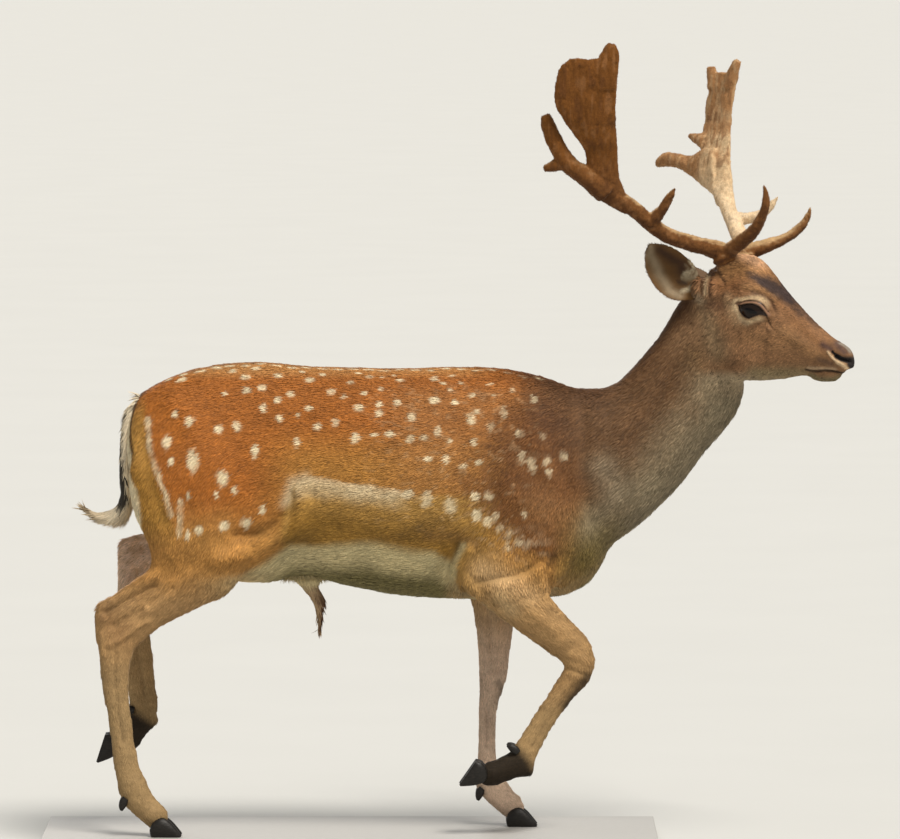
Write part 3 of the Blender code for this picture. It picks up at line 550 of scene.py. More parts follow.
def right_ear():
    """A cupped leaf, with its hollow turned outwards. The bow is the depth of the cup."""
    rows = spans(
        (4, -40, 42, -8, -42, 4, 8, 4), (-6, -56, 70, -40, -70, 5, 4.5, 20),
        (-26, -74, 94, -66, -86, 26, 3, 25), (-48, -91, 107, -82, -99, 60, 2.4, 17),
        (-67, -103, 110, -82, -105, 92, 1.8, 6), (-74, -106, 109, -77, -106, 103, 0.8),
    )
    return transformed(loft("ear_R", rows, around=44, steps=10), HEAD)


def left_ear():
    """The far ear, laid further back than the other."""
    rows = spans(
        (4, 40, 34, -8, 42, 0, 8, -4), (-18, 52, 50, -42, 60, -8, 4.5, -20),
        (-45, 62, 60, -75, 74, 0, 3, -25), (-75, 70, 71, -102, 82, 24, 2.4, -17),
        (-100, 76, 73, -114, 82, 50, 1.8, -6), (-112, 80, 69, -115, 81, 63, 0.8),
    )
    return transformed(loft("ear_L", rows, around=44, steps=10), HEAD)


def right_antler():
    """The near antler, in the head's frame: a long beam, a broad palm and a spurred rear tine."""
    palm = spans(
        (-78, -130, 168, -116, -150, 172, 14), (-100, -155, 200, -156, -182, 204, 13),
        (-109, -172, 240, -163, -199, 248, 11), (-108, -184, 285, -164, -212, 288, 10),
        (-106, -196, 330, -187, -236, 330, 10), (-104, -204, 375, -206, -255, 372, 9),
        (-100, -208, 415, -205, -258, 408, 8), (-100, -209, 440, -198, -254, 440, 7),
        (-115, -214, 456, -182, -247, 458, 5),
    )
    knob = spans(
        (-100, -208, 400, -150, -231, 400, 10), (-98, -208, 432, -138, -226, 436, 10),
        (-96, -208, 460, -130, -222, 463, 10), (-100, -209, 478, -120, -217, 481, 8),
        (-107, -211, 486, -113, -214, 487, 3),
    )
    return [
        loft("palm", palm, around=28),
        tine(
            "beam", (52, -26, 74, 21), (44, -32, 92, 19), (20, -50, 103, 16.5),
            (-10, -70, 112, 15.5), (-43, -96, 126, 15), (-68, -120, 150, 15), (-94, -142, 178, 15),
            (-122, -165, 203, 14),
        ),
        ball("burr", (0.049, -0.029, 0.082), (0.025, 0.024, 0.009), 0.4),
        tine(
            "brow", (46, -32, 90, 14), (85, -48, 112, 13.5), (120, -64, 138, 11),
            (141, -74, 170, 9), (148, -78, 197, 7), (143, -78, 221, 2),
        ),
        tine(
            "trez", (-72, -118, 148, 14), (-50, -124, 166, 12), (-34, -129, 184, 9.5),
            (-22, -132, 202, 7), (-13, -132, 216, 2),
        ),
        tine(
            "rear", (-136, -172, 208, 23), (-166, -198, 238, 19.5), (-196, -213, 262, 17),
            (-216, -220, 296, 15.5), (-228, -225, 328, 14), (-236, -228, 351, 9),
        ),
        tine("spur", (-202, -214, 264, 13), (-226, -220, 256, 10.5), (-240, -224, 251, 6)),
        loft("knob", knob, around=20),
    ]


def left_antler():
    """The far antler: an upright palm with a rear tine and a small spike below it."""
    palm = spans(
        (14, 120, 176, -26, 134, 172, 13), (-2, 150, 212, -58, 178, 214, 12),
        (-12, 168, 248, -80, 202, 250, 10), (-19, 186, 284, -92, 222, 284, 9),
        (-22, 200, 320, -90, 234, 318, 8), (-22, 208, 360, -88, 242, 358, 7),
        (-18, 214, 405, -84, 246, 400, 6), (-22, 218, 424, -76, 244, 422, 4),
    )
    rear = spans(
        (-50, 182, 284, -30, 156, 184, 10), (-84, 204, 275, -66, 184, 202, 12),
        (-110, 216, 264, -102, 210, 222, 13), (-138, 227, 266, -138, 226, 239, 13),
        (-164, 238, 269, -168, 240, 242, 12), (-180, 244, 264, -188, 248, 240, 10),
        (-188, 248, 254, -192, 249, 243, 5),
    )
    return [
        loft("palm", palm, around=28),
        tine(
            "beam", (60, 26, 74, 21), (66, 34, 92, 19), (50, 56, 112, 16.5), (28, 85, 138, 15.5),
            (4, 115, 165, 15), (-18, 142, 192, 14),
        ),
        ball("burr", (0.063, 0.029, 0.082), (0.025, 0.024, 0.009), 0.2),
        tine(
            "brow", (68, 36, 90, 14), (100, 45, 101, 13.5), (130, 55, 113, 11), (157, 65, 131, 9),
            (174, 70, 151, 7), (183, 72, 176, 2),
        ),
        tine(
            "trez", (10, 104, 152, 14), (40, 100, 150, 12), (70, 104, 158, 9.5), (90, 110, 175, 7),
            (104, 112, 192, 2),
        ),
        loft("rear", rear, around=20),
        tine("spike", (-80, 218, 290, 16), (-104, 234, 297, 10.5), (-125, 245, 301, 4)),
        tine("front_knob", (-34, 222, 396, 12.5), (-24, 218, 425, 11), (-14, 216, 446, 8)),
        tine("rear_knob", (-74, 242, 392, 11.5), (-76, 243, 414, 11), (-78, 244, 433, 8)),
    ]


# ---------------------------------------------------------------- the skin


def coat_depth(points):
    """How deep the coat lies over the skin."""
    h = in_head(points)
    depth = 0.0003 + 0.0027 * fade(points[:, 2], 0.36, 0.52)
    face = fade(h[:, 0], -0.02, 0.05) * fade(h[:, 2], -0.22, -0.15)
    depth += (0.0022 - depth) * face
    return depth + (0.0008 - depth) * fade(h[:, 0], 0.19, 0.25) * fade(h[:, 2], -0.3, -0.2)


# Folds and swellings of the body's sides: a path over the side outline, its width and its height.
FLANK_CREASE = line(-210, 572, -168, 574, -138, 590, -112, 612, -102, 642)
ELBOW_CREASE = line(204, 552, 187, 506, 193, 483, 220, 450)
ARM_CREASE = line(380, 468, 375, 500, 382, 530)
BODY_RELIEF = (
    (line(-245, 530, -180, 540, -134, 565, -100, 598, -86, 636), 0.015, 0.011),
    (FLANK_CREASE, 0.011, -0.0065),
    (line(-120, 520, -70, 560, -30, 590), 0.02, -0.006),
    (line(226, 545, 212, 508, 217, 488, 243, 458), 0.01, 0.007),
    (ELBOW_CREASE, 0.0095, -0.011),
    (line(240, 485, 295, 496, 328, 503, 358, 524), 0.0065, -0.0045),
    (line(280, 462, 330, 472), 0.018, 0.004),
    (ARM_CREASE, 0.009, -0.007),
    (line(362, 480, 356, 510), 0.01, 0.004),
    (line(330, 640, 400, 620, 430, 560), 0.03, 0.005),
    (line(300, 830, 350, 740, 385, 660), 0.02, 0.004),
    (line(250, 800, 262, 700, 275, 640), 0.02, -0.0045),
    (line(440, 800, 440, 700, 450, 600), 0.016, -0.0045),
    (line(-330, 815, -290, 790), 0.024, 0.005),
    (line(-392, 760, -372, 680, -345, 600), 0.012, -0.003),
    (line(-300, 760, -230, 700, -190, 620), 0.03, 0.004),
    (line(-300, 640, -285, 570, -300, 520), 0.014, -0.003),
    (line(640, 960, 600, 860, 540, 740), 0.014, -0.004),
    (line(690, 880, 650, 800, 590, 700), 0.016, 0.004),
)
# Tendons and hollows of the near legs, and of the far ones.
NEAR_LEG_RELIEF = (
    (line(-360, 500, -422, 468, -474, 437), 0.007, 0.0053),
    (line(-365, 477, -416, 450, -456, 426), 0.0075, -0.0077),
    (line(-392, 429, -441, 401), 0.008, -0.0036),
    (line(-380, 410, -416, 385, -447, 366), 0.006, 0.0043),
    (line(-300, 500, -340, 455, -385, 425), 0.01, 0.0036),
    (line(-330, 475, -372, 440), 0.006, -0.003),
    (line(-438, 350, -441, 305, -435, 242, -426, 180), 0.0045, -0.0031),
    (line(-462, 385, -462, 345), 0.006, 0.0024),
    (line(272, 434, 318, 389, 371, 349), 0.006, -0.0036),
    (line(330, 440, 385, 392), 0.011, 0.0034),
    (line(418, 345, 452, 330), 0.007, 0.0026),
    (line(410, 318, 450, 305), 0.0045, -0.0024),
    (line(420, 286, 380, 228, 344, 170), 0.0042, -0.0029),
)
FAR_LEG_RELIEF = (
    (line(-330, 540, -385, 535, -425, 525), 0.0065, -0.0076),
    (line(-400, 490, -420, 450), 0.008, -0.0068),
    (line(-408, 370, -405, 320, -394, 250), 0.0045, -0.0041),
    (line(262, 400, 268, 330), 0.006, -0.0043),
    (line(272, 300, 272, 270), 0.007, 0.0043),
    (line(258, 240, 257, 150), 0.004, -0.0037),
)
# The same on the face, in the head's frame.
BROW = line(80, 34, 111, 33, 128, 27, 146, 17, 156, 6)
BROW_CREASE = line(960, 225, 1187, 188, 1383, 92, 1479, -65, 1532, -160, unit=10000)
TEAR = line(141.5, -23.5, 142.1, -35.4, 148.4, -45.1, 157.6, -53.6)
NOSTRIL_TAIL = line(2605, -898, 2660, -955, unit=10000)
NOSTRIL = line(2677, -975, 2761, -1026, 2861, -1064, 2940, -1085, unit=10000)
NOSTRIL_RIM = line(
    2527, -895, 2573, -958, 2641, -1037, 2714, -1098, 2780, -1145, 2822, -1190, 2850, -1265,
    unit=10000,
)
MOUTH = line(
    2050, -1245, 2148, -1266, 2281, -1271, 2453, -1251, 2573, -1260, 2710, -1294, 2800, -1304,
    unit=10000,
)
FACE_RELIEF = (
    (BROW, 0.008, 0.0036),
    (BROW_CREASE, 0.0036, -0.0022),
    (TEAR, 0.0026, -0.003),
    (NOSTRIL_TAIL, 0.0022, -0.0045),
    (NOSTRIL, 0.0046, -0.01),
    (NOSTRIL_RIM, 0.003, 0.0014),
    (MOUTH, 0.0022, -0.0036),
    (line(215, -119, 262, -120), 0.005, 0.0014),
    (line(40, 0, 62, -8), 0.016, -0.0035),
    (line(60, -75, 90, -95), 0.03, 0.0028),
    (line(132, -75, 122, -105, 118, -135), 0.01, -0.003),
    (line(150, -50, 175, -62, 205, -78), 0.008, 0.0022),
    (line(160, -15, 200, -52, 235, -82), 0.008, -0.0016),
    (line(30, 10, 22, -40, 24, -85), 0.012, 0.003),
    (line(4, 52, 5, 10), 0.003, 0.0024),
    (line(11, 60, 12, 18), 0.0026, -0.0026),
    (line(18, 60, 19, 16), 0.0028, 0.0022),
    (line(25, 62, 26, 10), 0.003, -0.0026),
    (line(33, 55, 36, 10), 0.0036, 0.0016),
    (line(30, 62.5, 41, 51, 54, 35), 0.003, -0.0024),
)


def eye_places(h):
    """Places in the face of the eye: along its opening, outwards and across it."""
    out = np.abs(h[:, 1]) - EYE_MIDDLE[1]
    ahead, up = h[:, 0] - EYE_MIDDLE[0], h[:, 2] - EYE_MIDDLE[2]
    slope_x, slope_z = math.cos(EYE_SLOPE), math.sin(EYE_SLOPE)
    return ahead * slope_x + up * slope_z, out, up * slope_x - ahead * slope_z


def lid_edge(along, across):
    """Where the lids' edge lies above or below the opening's long axis."""
    t = np.clip(along / EYE_LONG, -1, 1)
    upper = EYE_UPPER * (1 - t**2) * (1 + 0.35 * t)
    lower = EYE_LOWER * (1 - t**2) * np.clip(1 - 0.35 * t - 1.1 * np.maximum(t, 0), 0.06, 2)
    return np.where(across > 0, upper, lower)


def lid_gap(along, across):
    """How far outside the eye's opening each place lies."""
    edge = lid_edge(along, across)
    return np.hypot(np.maximum(np.abs(along) - EYE_LONG, 0), np.maximum(np.abs(across) - edge, 0))


def relief(points):
    """How far the folds, swellings and tendons rise at each point of the body and legs."""
    x, y, z = points.T
    flat = points[:, [0, 2]]
    rise = np.zeros(len(points))
    for folds, where in (
        (BODY_RELIEF, (x < 0.66) * fade(z, 0.42, 0.46)),
        (NEAR_LEG_RELIEF, (y < -0.02) * fade(z, 0.54, 0.5)),
        (FAR_LEG_RELIEF, (y > 0.02) * fade(z, 0.56, 0.54)),
    ):
        for path, width, height in folds:
            rise += height * stroke(flat, path, width) * where
    return rise


def sculpted(points, normals):
    """The skin with its muscles, folds and features pressed into it."""
    move = relief(points) * fade(np.abs(normals[:, 1]), 0.15, 0.6)
    h = in_head(points)
    face = fade(h[:, 0], -0.03, 0.03) * fade(h[:, 2], -0.2, -0.15) * (points[:, 0] > 0.6)
    beside = face * fade(np.abs(h[:, 1]), 0.004, 0.01)
    for path, width, height in FACE_RELIEF:
        move += height * stroke(h[:, [0, 2]], path, width) * beside
    points = points + normals * move[:, None]
    return eye_socket(points)


def eye_socket(points):
    """Draws the skin round the eyeballs into lids, and sinks what is between them."""
    h = in_head(points)
    along, out, across = eye_places(h)
    near = (np.abs(along) < 0.05) & (np.abs(across) < 0.04) & (out > -0.03) & (h[:, 0] > 0)
    a, b = along / EYEBALL[0], across / EYEBALL[2]
    ball_height = EYEBALL[1] * np.sqrt(np.clip(1 - a**2 - b**2, 0.1, 1))
    over_ball = EYEBALL[1] * np.sqrt(np.clip(1 - a**2 - b**2, 0, 1)) + 0.0014
    over_ball = np.where(a**2 + b**2 < 1, over_ball, -1)
    beyond = lid_gap(along, across)
    lid = ball_height + 0.0016 + 0.0008 * np.exp(-((beyond - 0.002) / 0.0015) ** 2)
    hold = 1 - fade(beyond, 0.001, 0.011)
    drawn = np.maximum(out + (lid - out) * hold, over_ball)
    target = np.where(beyond > 0, drawn, ball_height - 0.0035)
    crease = 0.0018 * np.exp(-(((beyond - 0.0058) / 0.0014) ** 2)) * (across > 0.002)
    target = np.where(near, target - crease * (beyond > 0), out)
    h[:, 1] = np.sign(h[:, 1]) * (EYE_MIDDLE[1] + target)
    return moved(h, HEAD)


def on_lid_edge(points):
    """Slides the points nearest the lids' edge onto it, so that the opening has a clean rim."""
    h = in_head(points)
    along, out, across = eye_places(h)
    near = (np.abs(along) < EYE_LONG * 0.97) & (out > -0.03) & (h[:, 0] > 0)
    edge = lid_edge(along, across)
    gap = np.abs(across) - edge
    close = near & (np.abs(gap) < 0.0008)
    shift = np.where(close, np.sign(across) * edge - across, 0)
    h[:, 0] -= shift * math.sin(EYE_SLOPE)
    h[:, 2] += shift * math.cos(EYE_SLOPE)
    return moved(h, HEAD)


def around_face(points):
    h = in_head(points)
    return (h[:, 0] > -0.02) & (h[:, 2] > -0.165) & (points[:, 2] < 1.2)


def around_features(points):
    h = in_head(points)
    along, out, across = eye_places(h)
    eye = (np.abs(along) < 0.044) & (np.abs(across) < 0.032) & (out > -0.02)
    folds = (np.abs(h[:, 0] - 0.025) < 0.032) & (np.abs(h[:, 2] - 0.035) < 0.033)
    return (eye & (h[:, 0] > 0)) | (h[:, 0] > 0.203) | (folds & (np.abs(h[:, 1]) > 0.025))


def around_lids(points):
    h = in_head(points)
    along, out, across = eye_places(h)
    eye = (np.abs(along) < 0.033) & (np.abs(across) < 0.019) & (out > -0.02)
    nostril = (h[:, 0] > 0.255) & (h[:, 2] < -0.083) & (h[:, 2] > -0.132)
    return (eye | nostril) & (h[:, 0] > 0)


def around_legs(points):
    """The lower legs, and the folds at the flank and at the elbow."""
    flat = points[:, [0, 2]]
    legs = (points[:, 2] < 0.5) & (np.abs(points[:, 1]) > 0.035) & (points[:, 0] < 0.5)
    legs &= (points[:, 2] < 0.43) | (points[:, 0] < -0.28)
    folds = away(flat, FLANK_CREASE) < 0.03
    folds |= away(flat, ELBOW_CREASE) < 0.03
    folds |= away(flat, ARM_CREASE) < 0.02
    return legs | (folds & (np.abs(points[:, 1]) > 0.04))


def softness(points):
    """How much the fused skin is smoothed: fully on the trunk, little on the legs and face."""
    x, _, z = points.T
    soft = np.clip((z - 0.36) / 0.12, 0.12, 1)
    for place, _, _ in FEET.values():
        near = np.linalg.norm(points - np.array(place), axis=1)
        soft = np.maximum(soft, 0.55 * fade(near, 0.045, 0.025))
    return np.where((x > 0.7) & (z > 0.83), 0.12, soft)


def skin():
    parts = (trunk, neck, near_hind_leg, far_hind_leg, near_fore_leg, far_fore_leg)
    forms = [loft(part.__name__, part()) for part in parts] + head()
    forms += [pastern(name) for name in FEET]
    forms.append(ball("nose_pad", (0.2845, 0, -0.1095), (0.0152, 0.015, 0.016)))
    transformed(forms[-1], HEAD)
    whole = fused("skin", forms, SKIN_VOXEL)
    mesh = whole.data
    edges = edges_of(mesh)
    points = relaxed(points_of(mesh), edges, 0.8, rounds=8, push=1.0)
    points = relaxed(points, edges, softness(points), rounds=14, push=0.5)
    set_points(mesh, points)
    points = points - normals_of(mesh) * coat_depth(points)[:, None]
    set_points(mesh, points)
    for region in (around_legs, around_face, around_features, around_lids):
        divided(whole, region)
        points = points_of(mesh)
        weight = np.where(region(points), 0.9, 0.0)
        points = relaxed(points, edges_of(mesh), weight, rounds=7, push=0.85)
        set_points(mesh, points)
    points = sculpted(points, normals_of(mesh))
    for _ in range(2):
        points = on_lid_edge(points)
    set_points(mesh, points)
    return whole


# ---------------------------------------------------------------- the markings

CHESTNUT = (0.36, 0.118, 0.018)
TAWNY = (0.44, 0.212, 0.045)
OCHRE = (0.305, 0.162, 0.027)
CREAM = (0.6, 0.5, 0.27)
WHITE = (0.76, 0.64, 0.42)
UMBER = (0.122, 0.045, 0.012)
NECK_BROWN = (0.145, 0.074, 0.032)
BUFF = (0.4, 0.25, 0.114)
SHIN = (0.365, 0.242, 0.112)
BLACK = (0.01, 0.007, 0.005)

# White spots: where each lies on the side, forward and up, and its half length and half height, all
# in millimetres.
SPOTS = (
    # the haunch and the loin
    (-298, 784, 9, 11), (-340, 746, 8, 14), (-332, 710, 6, 8), (-291, 712, 10, 22),
    (-243, 769, 8, 9), (-209, 774, 8, 11), (-175, 729, 8, 13), (-236, 680, 12, 15),
    (-213, 657, 6, 9), (-247, 650, 5, 7), (-300, 648, 4, 8), (-281, 584, 8, 10), (-302, 573, 5, 8),
    (-232, 590, 11, 9), (-191, 595, 10, 12), (-162, 620, 7, 8), (-326, 797, 6, 7),
    (-315, 857, 10, 7), (-274, 873, 7, 5), (-247, 878, 7, 5), (-217, 873, 8, 6), (-194, 863, 8, 7),
    (-174, 878, 8, 6), (-232, 833, 5, 4), (-191, 840, 8, 8), (-162, 844, 8, 8), (-132, 865, 8, 6),
    (-132, 822, 7, 7), (-108, 833, 7, 7), (-160, 807, 7, 9), (-130, 788, 6, 8), (-94, 795, 5, 4),
    (-74, 807, 6, 6), (-57, 774, 7, 8), (-96, 746, 6, 10),
    # the flank and the back
    (-23, 782, 8, 8), (-9, 829, 5, 5), (-32, 837, 7, 7), (-49, 867, 6, 5), (-87, 871, 6, 4),
    (-74, 857, 8, 7), (4, 854, 7, 6), (19, 869, 6, 4), (40, 863, 6, 5), (62, 842, 6, 5),
    (85, 865, 5, 4), (96, 857, 7, 5), (92, 818, 7, 7), (19, 808, 8, 8), (58, 799, 8, 8),
    (13, 754, 8, 11), (77, 761, 8, 7), (119, 791, 8, 10), (117, 752, 8, 8), (162, 859, 8, 7),
    (160, 822, 8, 8), (191, 840, 5, 4), (200, 818, 6, 6), (143, 754, 8, 7), (168, 765, 7, 10),
    (230, 786, 8, 12), (183, 714, 7, 9), (236, 744, 7, 8), (268, 773, 7, 9), (189, 748, 5, 5),
    (64, 862, 5, 4), (30, 834, 6, 5), (58, 815, 6, 6), (178, 852, 6, 4), (194, 865, 6, 4),
    (211, 852, 6, 4), (266, 850, 7, 4), (230, 830, 7, 6), (274, 829, 5, 5), (240, 800, 6, 6),
    (149, 716, 8, 6), (215, 702, 8, 6), (242, 708, 6, 5), (50, 760, 8, 4),
    # the end of the flank's line
    (111, 650, 13, 9), (147, 640, 11, 17), (191, 630, 13, 18), (240, 612, 9, 13), (262, 645, 9, 8),
    (237, 646, 8, 8), (275, 607, 6, 8),
    # the shoulder
    (291, 797, 7, 11), (321, 760, 8, 9), (362, 755, 7, 9), (325, 716, 8, 11), (342, 701, 8, 12),
    (371, 708, 8, 10), (374, 687, 7, 10), (404, 718, 8, 9), (328, 610, 7, 8), (319, 561, 8, 11),
    (302, 574, 7, 7), (306, 839, 5, 5), (349, 822, 7, 9), (283, 584, 7, 8), (260, 599, 8, 9),
    (296, 552, 6, 8),
)
FLANK_LINE = line(-122, 618, -112, 650, -104, 672, -79, 679, -30, 673, 21, 665, 72, 660, 112, 651)
HAUNCH_STRIPE = line(-377, 788, -373, 737, -362, 701, -338, 635, -332, 612)
SHORT_STRIPE = line(-315, 637, -316, 574)
THROAT_LINE = line(741, 843, 737, 822, 707, 762, 630, 662, 543, 579, 470, 510)
NAPE_LINE = line(300, 893, 375, 870, 459, 843, 547, 914, 625, 1010)
# Where the belly's edge is shaded, and how strongly.
BELLY_EDGES = (
    (line(-110, 548, -80, 556), 0.55),
    (line(60, 558, 100, 568, 150, 596, 185, 602), 0.5),
)


def lay(colour, paint, share):
    """Lays this share of a paint over the colours."""
    colour += (np.asarray(paint) - colour) * np.clip(share, 0, 1)[:, None]


def spot_places(body):
    """Each white spot's middle on the skin of both flanks, with its half length and half height."""
    found = []
    for x, z, long, high in np.array(SPOTS) / 1000:
        for hand in (-1, 1):
            ahead = 0.0 if hand < 0 else 0.012 * math.sin(90 * x + 50 * z)
            rise = 0.0 if hand < 0 else 0.008 * math.cos(80 * x - 60 * z)
            place, *_ = body.ray_cast((x + ahead, hand, z + rise), (0, -hand, 0))
            if place is not None:
                found.append((*place, long, high))
    for k, x in enumerate(np.arange(-0.335, 0.37, 0.029)):
        for hand in (-1, 1):
            above = (x + 0.004 * hand, hand * (0.014 + 0.003 * (k % 3)), 2)
            place, *_ = body.ray_cast(above, (0, 0, -1))
            found.append((*place, 0.0105, 0.0036))
    return found


def spotted(points, spots):
    """How far each point lies within a white spot, from 0 to 1."""
    share = np.zeros(len(points))
    rough = (0.32 + 0.34 * fade(points[:, 0], 0.2, 0.29)) * grain(points, 0.006, 3)
    for x, y, z, long, high in spots:
        close = np.abs(points[:, 0] - x) < 1.5 * long
        gap = points[close] - (x, y, z)
        far = np.sqrt((gap[:, 0] / long) ** 2 + (gap[:, 1] ** 2 + gap[:, 2] ** 2) / high**2)
        share[close] = np.maximum(share[close], 1 - fade(far + rough[close], 0.5, 1.32))
    return share


def body_colour(points, fleck, spots):
    """The coat's colour on trunk, neck and legs. Fleck, from -1 to 1, varies it hair by hair."""
    x, y, z = points.T
    flat = points[:, [0, 2]]
    broad, fine = grain(points, 0.045, 1), grain(points, (0.022, 0.009, 0.009), 2)
    colour = np.tile(CHESTNUT, (len(points), 1))
    streak = grain(points, (0.024, 0.006, 0.006), 21)
    lay(colour, TAWNY, 0.8 * fade(z, 0.79, 0.69) * fade(x, -0.2, -0.07))
    lay(colour, (0.45, 0.232, 0.062), 0.8 * fade(z + 0.02 * broad, 0.655, 0.56))
    stripe_z = (0.574, 0.612, 0.635, 0.701, 0.737, 0.788)
    stripe_x = np.interp(z, stripe_z, (-0.316, -0.332, -0.338, -0.362, -0.373, -0.377))
    behind = fade(x, stripe_x + 0.002, stripe_x - 0.014) * fade(z, 0.84, 0.76) * fade(z, 0.54, 0.61)
    lay(colour, (0.335, 0.178, 0.034), 0.85 * behind)
    lay(colour, (0.52, 0.272, 0.064), 0.8 * behind * fade(z, 0.662, 0.735))
    ribs = fade(x, 0.02, 0.14) * fade(z, 0.6, 0.68) * fade(z, 0.86, 0.82)
    lay(colour, (0.36, 0.16, 0.048), 0.6 * ribs)
    line_z = np.interp(x, *np.transpose(FLANK_LINE))
    under = fade(z, line_z + 0.004, line_z - 0.014) * fade(x, -0.135, -0.112) * fade(x, 0.31, 0.22)
    lay(colour, OCHRE, 0.85 * under)
    lay(colour, (0.45, 0.255, 0.07), 0.65 * under * fade(z, line_z - 0.085, line_z - 0.035))
    cream_z = np.interp(x, (-0.2, -0.11, 0.05, 0.16, 0.22), (0.49, 0.552, 0.556, 0.54, 0.5))
    arm_x = np.interp(z, (0.44, 0.48, 0.54, 0.6), (0.222, 0.203, 0.213, 0.223))
    reach = fade(x, -0.3, -0.16) * np.maximum(fade(x, arm_x, arm_x - 0.01), np.abs(y) < 0.045)
    belly = fade(z + 0.008 * broad, cream_z + 0.012, cream_z - 0.014) * reach
    lay(colour, CREAM, 0.95 * belly * fade(z, 0.395, 0.42))
    shadow = belly * fade(z + 0.006 * broad, cream_z - 0.028, cream_z - 0.07)
    lay(colour, (0.13, 0.108, 0.034), 0.9 * shadow)

    spine = fade(z, 0.855, 0.876) * fade(x, 0.3, 0.2)
    lay(colour, (0.52, 0.27, 0.09), 0.6 * spine)
    for path, strength in BELLY_EDGES:
        shade = stroke(flat, path, 0.02) * fade(z + 0.004 * broad, cream_z, cream_z + 0.012)
        lay(colour, (0.14, 0.074, 0.018), strength * shade)
    # Painted shade in the fold behind the elbow, above the belly.
    elbow_fold_shade = stroke(flat, line(150, 572, 205, 572, 238, 556), 0.015)
    lay(colour, (0.15, 0.074, 0.024), 0.55 * elbow_fold_shade)
    start = np.interp(z, (0.55, 0.66, 0.72, 0.8, 0.87), (0.27, 0.225, 0.25, 0.31, 0.38))
    dark = fade(x + 0.034 * broad + 0.02 * fleck + 0.03 * streak, start - 0.055, start + 0.065)
    dark_z = np.interp(x, (0.24, 0.3, 0.36, 0.42), (0.605, 0.545, 0.52, 0.53))
    dark *= fade(z + 0.016 * broad + 0.012 * fleck, dark_z - 0.03, dark_z + 0.03)
    lay(colour, UMBER, 0.92 * dark)
    withers = stroke(flat, line(375, 800, 418, 765), 0.034)
    lay(colour, (0.062, 0.024, 0.011), 0.66 * withers * (1 + 0.3 * broad))
    paler = stroke(flat, line(345, 640, 395, 600, 415, 560), 0.03)
    lay(colour, (0.25, 0.125, 0.048), 0.5 * paler * (1 + 0.5 * broad))
    grizzle = stroke(flat, line(262, 575, 345, 548), 0.026)
    grizzle *= fade(grain(points, (0.016, 0.01, 0.01), 28) + 0.3 * fleck, -0.1, 0.5)
    lay(colour, (0.43, 0.32, 0.2), 0.6 * grizzle)
    lay(colour, (0.25, 0.11, 0.036), 0.4 * dark * fade(fleck + 0.6 * streak, 0.35, 0.9))
    specks = fade(grain(points, (0.011, 0.006, 0.007), 22), 0.3, 0.55)
    specks *= fade(x, 0.0, 0.08) * fade(x, 0.4, 0.3) * fade(z, 0.56, 0.62) * fade(z, 0.87, 0.83)
    lay(colour, (0.52, 0.36, 0.2), 0.2 * specks)
    neck_share = fade(x + 0.4 * (z - 0.75) + 0.02 * broad, 0.33, 0.5) * fade(z, 0.5, 0.56)
    lay(colour, NECK_BROWN, neck_share)
    nape = fade(away(flat, NAPE_LINE) - 0.01 * broad, 0.06, 0.004) * fade(x, 0.26, 0.34)
    lay(colour, (0.085, 0.034, 0.012), 0.7 * nape)
    lay(colour, (0.27, 0.155, 0.078), 0.7 * neck_share * fade(z, 0.88, 0.95) * (1 - nape))
    throat = away(flat, THROAT_LINE)
    pale = fade(throat - 0.018 * broad - 0.008 * fleck, 0.14, 0.015) * fade(x, 0.4, 0.48)
    lay(colour, (0.25, 0.205, 0.128), 0.85 * pale * fade(z, 0.46, 0.52))
    # Painted shade on the upper throat, under the jaw.
    under_jaw_shade = stroke(flat, line(662, 905, 690, 860), 0.026)
    lay(colour, (0.12, 0.076, 0.03), 0.6 * under_jaw_shade)
    brisket = stroke(flat, line(430, 480, 462, 560), 0.05)
    lay(colour, (0.168, 0.118, 0.03), 0.9 * brisket * fade(x, 0.375, 0.395))
    collar = stroke(flat, line(478, 695, 492, 635, 458, 580), 0.028)
    lay(colour, (0.3, 0.245, 0.16), 0.62 * collar * (1 + 0.4 * broad))

    low = fade(z + 0.01 * broad, 0.52, 0.43) * (np.abs(y) > 0.02)
    legs = low * np.maximum(fade(x, -0.13, -0.19), fade(x, 0.17, 0.2))
    arm = stroke(flat, line(250, 505, 290, 482, 340, 455), 0.03)
    lay(colour, (0.6, 0.395, 0.2), 0.72 * arm * (np.abs(y) > 0.05))
    lay(colour, BUFF, 0.8 * legs * (1 - 0.6 * arm))
    arm_front = stroke(flat, line(282, 458, 302, 430), 0.018) * (y < 0)
    lay(colour, (0.62, 0.43, 0.22), 0.6 * arm_front)
    hock = stroke(flat, line(-455, 420, -430, 385), 0.026)
    lay(colour, (0.25, 0.13, 0.05), 0.5 * hock * (y < 0))
    lay(colour, SHIN, 0.75 * fade(z, 0.37, 0.29) * (x < 0) * (y < 0))
    lay(colour, SHIN, 0.75 * fade(z, 0.3, 0.22))
    lay(colour, SHIN, 0.7 * fade(z, 0.5, 0.44) * (x < -0.2) * (y > 0.02))
    far_hock = fade(x, -0.335, -0.38) * fade(z, 0.43, 0.46) * fade(z, 0.585, 0.545) * (y > 0.02)
    far_hock *= 1 - 0.75 * fade(y, 0.084, 0.096)
    mottled = 0.85 + 0.4 * grain(points, 0.009, 26)
    lay(colour, (0.78, 0.57, 0.42), 0.9 * far_hock * mottled)
    far_fore = fade(z, 0.46, 0.3) * (x > 0.1) * (y > 0.02)
    lay(colour, (0.65, 0.48, 0.36), 0.85 * far_fore * (1 - 0.4 * fade(y, 0.084, 0.1)))
    knee = stroke(flat, line(447, 300, 425, 272, 408, 246), 0.013) * (y < 0)
    # Painted shade along the edge of the far knee, laid with the black of the near knee.
    far_shin_shade = stroke(flat, line(280, 275, 290, 262, 284, 235), 0.009) * (y > 0)
    lay(colour, BLACK, 0.78 * knee * (x > 0.3) + 0.5 * far_shin_shade)
    fringe = stroke(flat, line(232, 447, 305, 388), 0.006) * (y < 0)
